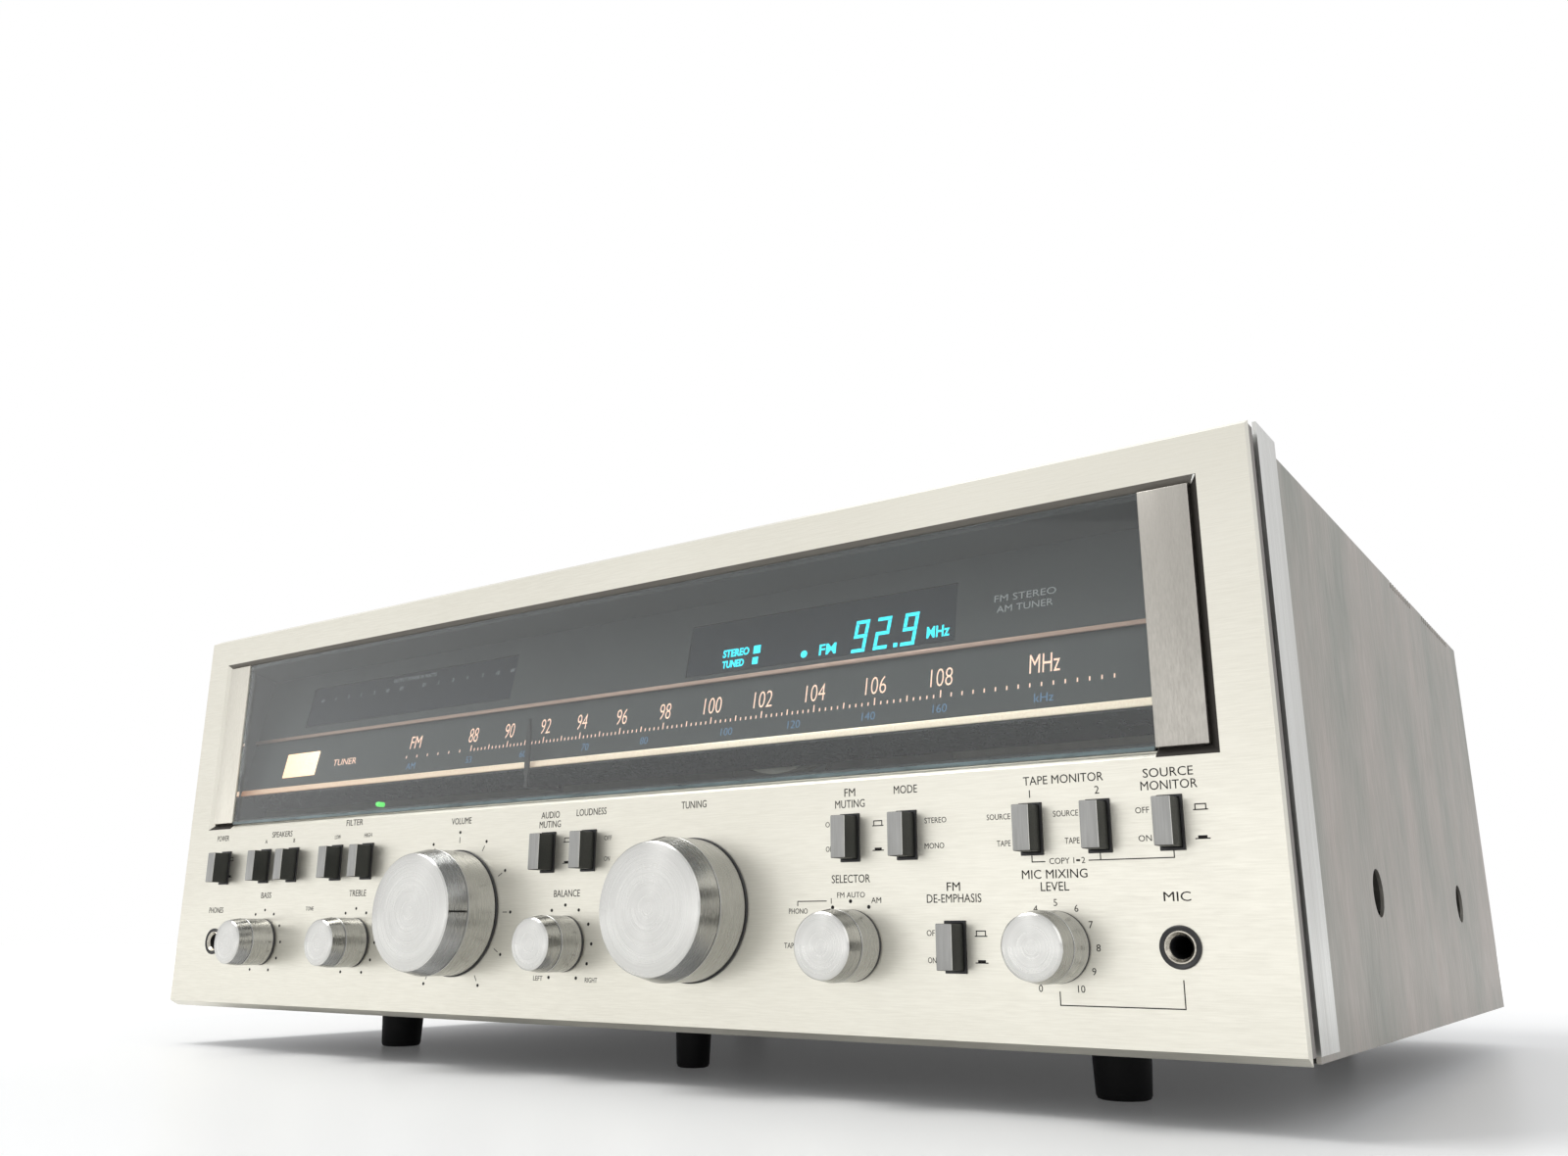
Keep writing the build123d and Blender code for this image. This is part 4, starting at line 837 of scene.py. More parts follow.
@dataclass
class Jacks:
    """Microphone and headphone jacks: nickel bush in a black bezel."""

    frame: PanelFrame
    inset: float = 30.8
    height: float = 27.3
    bore: float = 3.25
    mouth: float = 3.7
    bush: float = 4.55
    bezel: float = 5.9
    # How far behind the panel's face the body starts and the bore's sleeve ends.
    body: float = 18.5
    sleeve_end: float = 40.0

    def build(self) -> None:
        """Models both jacks."""
        low, high = self.frame.box_mm("front_panel")
        _, back = self.frame.box_mm("front_jacks")
        jacks = Piece("jack_sockets", BLACK_PLASTIC, NICKEL)
        for x in (low.x + self.inset, high.x - self.inset):
            z = self.height
            jacks.turn(x, z, [(self.bush, -0.5), (self.bezel - 0.4, -0.9), (self.bezel - 0.1, -0.7),
                              (self.bezel, -0.4), (self.bezel, 0.0), (self.bush, 0.0)], 0, 72)
            jacks.turn(x, z, [(self.bore, 0.3), (self.mouth, -0.2), (self.mouth + 0.35, -0.6),
                              (self.bush - 0.15, -0.6), (self.bush, -0.45), (self.bush, self.body),
                              (self.bore, self.body)], 1, 72)
            lining, end = self.bore - 0.1, self.sleeve_end
            jacks.turn(x, z, [(lining, 1.0), (self.bore + 0.2, 1.0), (self.bore + 0.2, end), (0.0, end),
                              (0.0, end - 1.0), (lining, end - 1.0)], 0, 48)
            for side in (-1, 1):
                wall, roof = x + side * 5.6, z + side * 6.6
                jacks.block((wall - 0.9, wall + 0.9), (self.body, back.y), (z - 8, z + 8))
                jacks.block((x - 4.7, x + 4.7), (self.body, back.y), (roof - 1.4, roof + 1.4))
        jacks.make(self.frame, "chassis", "jack_metal", "front_jacks")


@dataclass(frozen=True)
class Label:
    """One line of print: what it says, its middle, its height and its width."""

    text: str
    x: float
    z: float
    height: float = 2.5
    width: float = 0.0


@dataclass
class PanelPrint:
    """Everything screen-printed on the fascia."""

    frame: PanelFrame
    large: float = 2.6
    small: float = 1.75
    line: float = 0.32
    ink: float = 0.04
    dot: float = 0.62
    # Middle of the marks for a button standing out and pushed in: x, upper z, lower z.
    push_places: tuple[tuple[float, float, float], ...] = (
        (-225.2, 65.3, 57.2), (-2.8, 65.6, 57.2), (135.9, 65.5, 57.2), (171.4, 31.0, 22.8),
        (240.6, 65.2, 56.8))

    def labels(self) -> list[Label]:
        """Lists the words of the fascia."""
        big, fine = self.large, self.small
        return [
            Label("POWER", -233.8, 75.3, big, 9.6), Label("SPEAKERS", -186.3, 75.4, big, 15.4),
            Label("FILTER", -133.5, 78.3, big, 11.5), Label("LOW", -144.6, 72.4, fine, 4.1),
            Label("HIGH", -123.4, 72.4, fine, 5.2), Label("A", -198.2, 72.4, fine),
            Label("B", -176.6, 72.2, fine), Label("OFF", -240.5, 65.1, fine, 3.8),
            Label("ON", -240.2, 57.2, fine, 2.8),
            Label("VOLUME", -63.6, 75.6, big, 11.9), Label("AUDIO", -12.5, 75.5, big, 9.9),
            Label("MUTING", -12.5, 71.9, big, 11.5), Label("LOUDNESS", 9.2, 75.6, big, 15.4),
            Label("OFF", 18.2, 65.5, fine, 3.8), Label("ON", 18.0, 57.9, fine, 2.8),
            Label("TUNING", 59.2, 75.6, big, 11.5), Label("FM", 125.3, 75.9, big, 4.2),
            Label("MUTING", 125.3, 72.2, big, 11.5), Label("OFF", 117.6, 65.8, fine, 3.9),
            Label("ON", 117.2, 57.8, fine, 2.9), Label("MODE", 146.4, 75.7, big, 8.6),
            Label("STEREO", 157.0, 65.4, fine, 7.7), Label("MONO", 156.4, 57.5, fine, 6.9),
            Label("TAPE MONITOR", 200.2, 75.5, big, 25.4), Label("1", 189.4, 71.6, 2.3),
            Label("2", 210.7, 71.6, 2.3), Label("SOURCE", 178.8, 65.3, fine, 7.9),
            Label("TAPE", 180.2, 57.3, fine, 4.6), Label("SOURCE", 200.6, 65.3, fine, 7.9),
            Label("TAPE", 202.2, 57.3, fine, 4.6), Label("SOURCE", 232.1, 75.4, big, 14.5),
            Label("MONITOR", 232.1, 71.8, big, 16.4), Label("OFF", 223.9, 65.0, fine, 4.1),
            Label("ON", 224.2, 57.1, fine, 3.9), Label("COPY 1", 198.6, 51.6, fine, 7.8),
            Label("2", 205.3, 51.6, fine), Label("SELECTOR", 125.3, 48.1, big, 14.7),
            Label("FM AUTO", 125.3, 43.0, fine, 10.6), Label("AM", 134.8, 41.2, fine, 3.7),
            Label("PHONO", 104.6, 38.1, fine, 7.5), Label("TAPE", 101.4, 27.1, fine, 4.9),
            Label("1", 117.7, 41.2, fine), Label("FM", 162.6, 44.9, big, 4.6),
            Label("DE-EMPHASIS", 162.6, 41.4, big, 18.8), Label("OFF", 154.8, 31.1, fine, 3.9),
            Label("ON", 154.5, 23.0, fine, 2.9), Label("MIC MIXING", 196.0, 47.9, big, 20.6),
            Label("LEVEL", 196.0, 44.3, big, 8.9), Label("4", 189.5, 38.0, 2.0),
            Label("5", 195.9, 39.7, 2.0), Label("6", 202.3, 38.0, 2.0),
            Label("7", 206.4, 33.4, 2.0), Label("8", 208.3, 27.0, 2.0),
            Label("9", 206.6, 20.5, 2.0), Label("10", 202.5, 15.7, 2.0),
            Label("0", 190.0, 15.6, 2.0), Label("3", 185.2, 33.4, 2.0),
            Label("2", 183.4, 26.9, 2.0), Label("1", 185.0, 20.5, 2.0),
            Label("MIC", 232.1, 40.9, big, 7.7), Label("BALANCE", -1.8, 45.6, big, 13.5),
            Label("LEFT", -15.0, 14.6, fine, 4.8), Label("RIGHT", 12.4, 14.4, fine, 6.1),
            Label("BASS", -193.8, 47.9, big, 7.7), Label("TREBLE", -127.2, 47.8, big, 11.5),
            Label("TONE", -160.1, 41.6, fine, 5.6), Label("PHONES", -232.8, 41.6, big, 11.6)]

    def bar(self, ink: Piece, x: tuple[float, float], z: tuple[float, float]) -> None:
        """Adds one printed line or patch."""
        ink.block(x, (-self.ink, 0.0), z)

    def spot(self, ink: Piece, x: float, z: float) -> None:
        """Adds one printed dot."""
        ink.turn(x, z, [(0.0, -self.ink), (self.dot, -self.ink), (self.dot, 0.0), (0.0, 0.0)], 0, 20)

    def push_marks(self, ink: Piece, x: float, out_z: float, in_z: float) -> None:
        """Draws the marks for a button standing out and pushed in."""
        half, rise, line = 1.5, 1.7, self.line
        for z in (out_z - rise / 2, in_z - 0.4):
            self.bar(ink, (x - half - 0.6, x + half + 0.6), (z - line / 2, z + line / 2))
        for side in (-1, 1):
            self.bar(ink, (x + side * half - line / 2, x + side * half + line / 2),
                     (out_z - rise / 2, out_z + rise / 2))
        self.bar(ink, (x - half, x + half), (out_z + rise / 2 - line, out_z + rise / 2))
        self.bar(ink, (x - half + 0.2, x + half - 0.2), (in_z - 0.4, in_z + 0.45))

    def scale_dots(self, ink: Piece, node: str, out: float, angles: list[float],
                   tick: float = 0.0) -> None:
        """Rings a knob with dots.

        Args:
            ink: the piece to add to.
            node: the knob's CAD node.
            out: how far outside the skirt the dots are.
            angles: clockwise from the top, in degrees.
            tick: length of the line inside each dot, 0 for none.
        """
        x, z, skirt = self.frame.middle(node)
        radius = skirt + out
        for angle in angles:
            turn = math.radians(angle)
            self.spot(ink, x + radius * math.sin(turn), z + radius * math.cos(turn))
            if tick:
                half = self.line / 2
                line = ink.block((-half, half), (-self.ink, 0.0), (radius - 4.3, radius - 4.3 + tick))
                spin = Matrix.Translation((x, 0, z)) @ Matrix.Rotation(turn, 4, "Y")
                bmesh.ops.transform(ink.mesh, matrix=spin, verts=line)

    def build(self) -> None:
        """Prints the fascia."""
        ink = Piece("panel_print", BLACK_INK)
        for label in self.labels():
            ink.words(label.text, label.x, label.z, label.height, label.width, depth=self.ink, thin=0.0)
        half = self.line / 2
        # Copy line under the tape and source buttons.
        copy_z, tops = 51.5, (189.2, 210.6, 232.2)
        self.bar(ink, (tops[0], 193.4), (copy_z - half, copy_z + half))
        self.bar(ink, (206.9, tops[2]), (copy_z - half, copy_z + half))
        for x in tops:
            self.bar(ink, (x - half, x + half), (copy_z - half, 53.4))
        self.bar(ink, (203.1, 204.3), (51.3, 51.9))
        # Line that ties the microphone jack to its level knob.
        knob_x, jack_x, tie_z = 195.9, 232.1, 11.1
        self.bar(ink, (knob_x - half, knob_x + half), (tie_z, 14.9))
        self.bar(ink, (knob_x - half, jack_x + half), (tie_z - half, tie_z + half))
        self.bar(ink, (jack_x - half, jack_x + half), (tie_z, 18.7))
        # Bracket over the first positions of the selector.
        start, bracket_z = 104.4, 41.2
        self.bar(ink, (start, 115.9), (bracket_z - half, bracket_z + half))
        self.bar(ink, (start - half, start + half), (39.7, bracket_z))
        for x, out_z, in_z in self.push_places:
            self.push_marks(ink, x, out_z, in_z)
        every = [-150 + 30 * i for i in range(11)]
        self.scale_dots(ink, "knob_volume", 7.6, every, 2.4)
        for node in ("knob_bass", "knob_treble", "knob_balance"):
            self.scale_dots(ink, node, 3.9, every)
        self.scale_dots(ink, "knob_selector", 2.6, [-90, -60, -30, 0, 30])
        ink.make(self.frame, "chassis", "panel_aluminium")


# ---- window and dial --------------------------------------------------------------------
@dataclass
class Dial:
    """Lit scale, fluorescent digits and lamps on the leaning plate behind the glass."""

    frame: PanelFrame
    foot_z: float = 97.5
    foot_y: float = 10.0
    lean_degrees: float = 11.1
    print_depth: float = 0.08
    figure_height: float = 6.3
    figure_z: float = 113.4
    tick_foot: float = 106.3
    tick_width: float = 0.44
    set_back: float = 0.3
    strip_out: float = 1.4
    # Foot, top and rounding of the lower and the upper trim strip.
    trim_strips: tuple[tuple[float, float, float], ...] = ((96.2, 98.8, 0.5), (122.35, 124.05, 0.4))
    blade_width: float = 2.6
    blade_z: tuple[float, float] = (93.0, 113.0)
    # Frequency in MHz to its place on the scale.
    stations: dict[str, float] = field(default_factory=lambda: {
        "88": -72.8, "90": -50.7, "92": -29.5, "94": -9.0, "96": 12.4, "98": 34.6, "100": 57.8,
        "102": 81.1, "104": 104.0, "106": 129.0, "108": 154.5})

    def slope(self) -> float:
        """How far the plate goes back for each millimetre up."""
        return math.tan(math.radians(self.lean_degrees))

    def lay(self, piece: Piece, slot: str, set_back: float = 0.0) -> None:
        """Lays a flat piece onto the leaning plate and hands it over."""
        piece.lean(self.foot_z, self.foot_y + set_back, self.slope())
        piece.make(self.frame, "chassis", slot)

    def figures(self) -> None:
        """Prints the lit figures and ticks."""
        lit = Piece("dial_figures", LIT_FIGURES)
        for text, x in self.stations.items():
            lit.words(text, x, self.figure_z, self.figure_height, 2.75 * len(text), depth=self.print_depth,
                      thin=0.012)
        lit.words("FM", -110.5, self.figure_z, self.figure_height * 0.9, 7.0, depth=self.print_depth)
        lit.words("MHz", 191.4, self.figure_z + 0.6, self.figure_height, 10.4, depth=self.print_depth)
        lit.words("TUNER", -159.1, 108.2, 3.0, 17.0, depth=self.print_depth)
        places = list(self.stations.values())
        for left, right in zip(places, places[1:]):
            for i in range(10):
                x = left + (right - left) * i / 10
                rise = 2.6 if i == 0 else (2.1 if i == 5 else 1.2)
                self.tick(lit, x, rise)
        for i in range(16):
            self.tick(lit, places[-1] + 4.0 * i, 2.6 if i == 0 else 1.4)
        for i in range(6):
            self.tick(lit, places[0] - 7.0 * (i + 1), 1.2)
        self.lay(lit, "dial_plastic")

    def tick(self, lit: Piece, x: float, rise: float) -> None:
        """Adds one mark of the scale."""
        half, foot = self.tick_width / 2, self.tick_foot
        lit.block((x - half, x + half), (-self.print_depth, 0.0), (foot, foot + rise))

    def second_scale(self) -> None:
        """Prints the dim blue scale and the grey captions."""
        blue = Piece("dial_second_scale", BLUE_INK)
        for text, x in (("AM", -110.5), ("53", -72.8), ("60", -40.0), ("70", -5.0), ("80", 26.0),
                        ("100", 66.0), ("120", 96.0), ("140", 127.0), ("160", 154.5), ("kHz", 191.4)):
            blue.words(text, x, 102.6, 2.9, depth=self.print_depth)
        self.lay(blue, "dial_plastic")
        grey = Piece("dial_captions", GREY_INK)
        grey.words("FM STEREO", 183.6, 138.6, 2.4, 22.0, depth=self.print_depth)
        grey.words("AM TUNER", 183.6, 134.7, 2.4, 20.0, depth=self.print_depth)
        self.lay(grey, "dial_plastic")

    def meter(self) -> None:
        """Prints the power scale on its display, unlit but with a faint painted glow."""
        dim = Piece("power_scale", METER_INK)
        dim.words("OUTPUT POWER IN WATTS", -123.0, 145.2, 1.8, 30.0, depth=0.05, thin=0.0)
        for start, marks in ((-190.0, (".01", ".1", ".3", "1", "3", "10", "30")),
                             (-115.5, (".01", ".1", ".3", "1", "3", "10"))):
            for i, text in enumerate(marks):
                dim.words(text, start + 9.8 * i, 141.0, 1.9, depth=0.05, thin=0.0)
        dim.words("W", -57.5, 141.0, 1.9, depth=0.05, thin=0.0)
        self.lay(dim, "display_glass", self.set_back)

    def digits(self) -> None:
        """Lights the frequency and its captions."""
        lit = Piece("frequency_digits", PHOSPHOR)
        number = Digits(self.print_depth)
        for text, x in (("9", 120.6), ("2", 129.6), ("9", 140.6)):
            number.draw(lit, text, x, 132.6)
        lit.block((134.4, 136.0), (-self.print_depth, 0.0), (126.6, 128.2))
        lit.words("FM", 107.0, 129.6, 4.2, 7.2, depth=self.print_depth, thin=-0.02)
        lit.words("MHz", 151.8, 130.2, 4.2, 8.8, depth=self.print_depth, thin=-0.02)
        lit.words("STEREO", 65.2, 133.6, 3.2, 12.4, depth=self.print_depth, thin=-0.04)
        lit.words("TUNED", 64.4, 129.2, 3.0, 10.2, depth=self.print_depth, thin=-0.04)
        lit.block((73.4, 76.6), (-self.print_depth, 0.0), (132.0, 135.2))
        lit.block((73.4, 76.0), (-self.print_depth, 0.0), (127.8, 130.6))
        lit.turn(96.8, 128.9, [(0.0, -self.print_depth), (1.4, -self.print_depth), (1.4, 0.0), (0.0, 0.0)],
                 0, 24)
        self.lay(lit, "display_glass", self.set_back)

    def lamps(self) -> None:
        """Adds the function lamp and the green pilot."""
        cream = Piece("function_lamp", CREAM_LAMP)
        cream.block((-205.0, -180.0), (-0.4, 0.0), (103.4, 115.0), 0, 0.3)
        self.lay(cream, "dial_plastic")
        green = Piece("pilot_lamp", GREEN_LAMP)
        green.turn(-128.3, 86.6, [(0.0, 8.2), (0.7, 8.35), (1.1, 8.9), (1.1, 12.0), (0.0, 12.0)], 0, 24)
        green.make(self.frame, "chassis", "dial_plastic")

    def rails(self) -> None:
        """Models the two trim strips with rounded noses; the lower one has a painted glow."""
        low, high = self.frame.box_mm("dial_rails")
        strips = Piece("dial_trim_strips", LIT_RAIL, COPPER)
        for finish, (foot, top, edge) in enumerate(self.trim_strips):
            strips.block((low.x, high.x), (-self.strip_out, 0.0), (foot, top), finish, edge, 3)
        strips.lean(self.foot_z, self.foot_y, self.slope())
        strips.make(self.frame, "chassis", "brass_strip", "dial_rails")

    def apron(self) -> None:
        """Hangs the dark strip that hides the cord drive under the scale; its dark colour is partly painted
        shade of the lower trim strip.
        """
        strip = Piece("dial_apron", APRON)
        half, (front, top), (back, foot) = 234.0, (10.4, 96.0), (25.4, 90.4)
        strip.facet([(-half, front, top), (half, front, top), (half, back, foot), (-half, back, foot)],
                    (0.0, 0.15, -0.4))
        strip.make(self.frame, "chassis", "dial_plastic")

    def pointer_blade(self) -> None:
        """Widens the pointer's tip into a black blade, as tall as the scale."""
        low, _ = self.frame.box_mm("dial_pointer")
        x, _, _ = self.frame.middle("dial_pointer")
        half = self.blade_width / 2
        blade = Piece("pointer_blade", BLACK_PLASTIC)
        blade.block((x - half, x + half), (low.y + 0.05, low.y + 0.85), self.blade_z, 0, 0.15)
        blade.make(self.frame, "dial_pointer", "pointer_plastic")

    def build(self) -> None:
        """Models the whole dial."""
        self.pointer_blade()
        self.rails()
        self.apron()
        self.figures()
        self.second_scale()
        self.meter()
        self.digits()
        self.lamps()


@dataclass
class WindowTrim:
    """End blocks, the bevel round them with painted shade and a painted glint, and the pane's ground lower
    edge.
    """

    frame: PanelFrame
    # Clearance of the blocks, width of the bevel, its depth at the sill, and its faces' thickness.
    fit: float = 0.2
    rim: float = 2.0
    deep: float = 2.8
    film: float = 0.05

    def build(self) -> None:
        """Models the blocks, the bevel's faces and the pane's edge."""
        low, high = self.frame.box_mm("window_blocks")
        pane, _ = self.frame.box_mm("dial_glass")
        inner = high.x + self.fit
        outer = inner + self.rim
        floor, roof = low.z - self.fit, high.z + self.fit
        under, over = floor - self.rim, roof + self.rim
        start, film = -pane.x + self.fit, self.film
        side_in, sill = outer - self.deep, under + self.deep
        # The left-hand block takes the painted lit copy of the metal, the right-hand one the painted shade
        # copy.
        blocks = Piece("window_end_blocks", BLOCK, BLOCK_PAINTED_LIT)
        for side in (-1, 1):
            x = sorted((side * start, side * (side_in - 0.05)))
            blocks.block((x[0], x[1]), (low.y, high.y), (sill + 0.05, high.z), int(side < 0), 0.35, 3)
        blocks.make(self.frame, "chassis", "block_aluminium", "window_blocks")
        bevels = Piece("window_bevels", BEVEL_DARK, BEVEL_GREY, BEVEL_GLINT)
        # Painted shade: the bevel's bottom and right faces are dark, its top face grey.
        for side in (-1, 1):
            bevels.facet([(side * start, 0, under), (side * outer, 0, under),
                          (side * side_in, self.deep, sill), (side * start, self.deep, sill)],
                         (0.0, -film, film), 0)
        bevels.facet([(outer, 0, under), (outer, 0, over), (side_in, self.deep, roof),
                      (side_in, self.deep, sill)], (-film, -film, 0.0), 0)
        bevels.facet([(-outer, 0, over), (outer, 0, over), (inner, self.rim, roof),
                      (-inner, self.rim, roof)], (0.0, -film, -film), 1)
        # Painted highlight: a glint on the top right mitre.
        bevels.facet([(outer - 0.6, 0, over), (outer - 0.1, 0, over - 0.4), (inner, self.rim, roof - 0.2),
                      (inner - 0.2, self.rim, roof)], (-2 * film, -2 * film, -2 * film), 2)
        bevels.make(self.frame, "chassis", "panel_aluminium")
        edge = Piece("pane_ground_edge", PANE_EDGE)
        edge.block((-start + 0.4, start - 0.4), (0.75, 1.1), (floor + 0.1, floor + 1.3), 0, 0.12)
        edge.make(self.frame, "chassis", "window_glass")


@dataclass
class RailTrim:
    """Dull strip, dark joint lines and the groove of the end rails, whose dark colour is painted shade."""

    frame: PanelFrame
    strip: tuple[float, float] = (5.3, 9.7)
    groove: tuple[float, float] = (9.95, 13.45)
    groove_in: float = 3.8
    strip_in: float = 0.575
    panel_back: float = 4.35
    below_top: float = 0.4
    sunk: float = 1.5
    film: float = 0.12

    def build(self) -> None:
        """Models the lines on both rails."""
        low, high = self.frame.box_mm("front_panel")
        rail, _ = self.frame.box_mm("end_rails")
        top = high.z - self.below_top
        lines = Piece("rail_lines", GROOVE_DARK, RAIL_STRIP)
        for side in (-1, 1):
            for y, inset, finish in (((self.panel_back, self.strip[0]), self.strip_in, 0),
                                     (self.strip, self.strip_in, 1),
                                     ((self.strip[1], self.groove[0]), self.strip_in, 0),
                                     (self.groove, self.groove_in, 0)):
                face = high.x - inset
                x = sorted((side * (face - self.sunk), side * (face + self.film)))
                lines.block((x[0], x[1]), y, (rail.z, top), finish)
        lines.make(self.frame, "chassis", "rail_aluminium")


@dataclass
class Digits:
    """Slanted seven-segment figures."""

    depth: float
    width: float = 5.6
    height: float = 12.0
    stroke: float = 1.35
    slant: float = 0.12
    segments: dict[str, str] = field(default_factory=lambda: {"2": "abged", "9": "abcdfg"})

    def draw(self, piece: Piece, figure: str, x: float, z: float) -> None:
        """Adds one figure.

        Args:
            piece: the piece to add to.
            figure: the character.
            x: its middle, across.
            z: its middle, up.
        """
        w, h, s = self.width / 2, self.height / 2, self.stroke / 2
        gap = 0.18
        full, left, right = (-w, w), (-w, -w + 2 * s), (w - 2 * s, w)
        upper, lower = (s + gap, h - 2 * s - gap), (-h + 2 * s + gap, -s - gap)
        bars = {"a": (full, (h - 2 * s, h)), "d": (full, (-h, -h + 2 * s)), "g": (full, (-s, s)),
                "b": (right, upper), "c": (right, lower), "f": (left, upper), "e": (left, lower)}
        for name in self.segments[figure]:
            across, up = bars[name]
            for vert in piece.block(across, (-self.depth, 0.0), up):
                vert.co.x += x + vert.co.z * self.slant
                vert.co.z += z


# ---- case and feet ----------------------------------------------------------------------
@dataclass
class Feet:
    """Moulded feet with a ribbed wall and a pad ring on the sole."""

    frame: PanelFrame
    radius: float = 9.6
    middle_radius: float = 7.2

    def build(self) -> None:
        """Models the five feet where the CAD has them."""
        low, high = self.frame.box_mm("feet")
        top, sole = high.z, round(high.z - low.z, 3)
        feet = Piece("moulded_feet", FOOT_RUBBER)
        outer = self.radius
        left, right = low.x + outer, high.x - outer
        front, back = low.y + outer, high.y - outer
        middle = (left + right) / 2
        for x, y, radius in ((left, front, outer), (right, front, outer), (left, back, outer),
                             (right, back, outer), (middle, front, self.middle_radius)):
            own = feet.turn(0.0, 0.0, [
                (0.0, 0.0), (radius, 0.0), (radius, 2.2), (radius - 0.5, 2.7), (radius - 0.5, 3.3),
                (radius - 0.1, 3.8), (radius - 0.7, sole - 1.4), (radius - 1.2, sole - 0.3),
                (radius - 2.0, sole), (radius - 4.2, sole), (radius - 4.6, sole - 0.6),
                (0.0, sole - 0.6)], 0, 64)
            turn = Matrix.Translation((x, y, top)) @ Matrix.Rotation(-math.pi / 2, 4, "X")
            bmesh.ops.transform(feet.mesh, matrix=turn, verts=own)
        feet.make(self.frame, "chassis", "foot_plastic", "feet")


@dataclass
class Screws:
    """Pan-head screws of the lid and the back, with a cross recess drawn as a flat black cross: painted
    shade.
    """

    frame: PanelFrame
    radius: float = 3.4
    rise: float = 1.8
    recess: float = 1.9

    def head(self, piece: Piece, place: Matrix) -> None:
        """Adds one screw, pointing along -Y before it is placed."""
        r, h = self.radius, self.rise
        own = piece.turn(0.0, 0.0, [(0.0, -h), (r * 0.55, -h), (r * 0.85, -h + 0.35), (r, -h + 0.95),
                                    (r, 0.0), (1.5, 0.0), (1.5, 5.8), (0.0, 6.0)], 0, 40)
        # Painted shade: the cross recess is a flat black cross on the head.
        own += piece.block((-self.recess, self.recess), (-h - 0.02, -h + 0.1), (-0.35, 0.35), 1)
        own += piece.block((-0.35, 0.35), (-h - 0.02, -h + 0.1), (-self.recess, self.recess), 1)
        bmesh.ops.transform(piece.mesh, matrix=place, verts=own)

    def build(self) -> None:
        """Models the screws of the lid and the back."""
        low, high = self.frame.box_mm("top_cover")
        _, side = self.frame.box_mm("side_plate_right")
        screws = Piece("case_screws", TURNED_STEEL, BLACK_PLASTIC)
        x_row = side.x - 7.0
        down = Matrix.Rotation(-math.pi / 2, 4, "X")
        for x in (-x_row, x_row):
            for y in (60.0, high.y / 2, high.y - 12.0):
                self.head(screws, Matrix.Translation((x, y, high.z)) @ down)
        _, back = self.frame.box_mm("rear_panel")
        reach = back.x - 20.0
        about = Matrix.Rotation(math.pi, 4, "Z")
        for x in (-reach, 0.0, reach):
            self.head(screws, Matrix.Translation((x, high.y, 5.9)) @ about)
        screws.make(self.frame, "chassis", "turned_steel", "cover_screws")


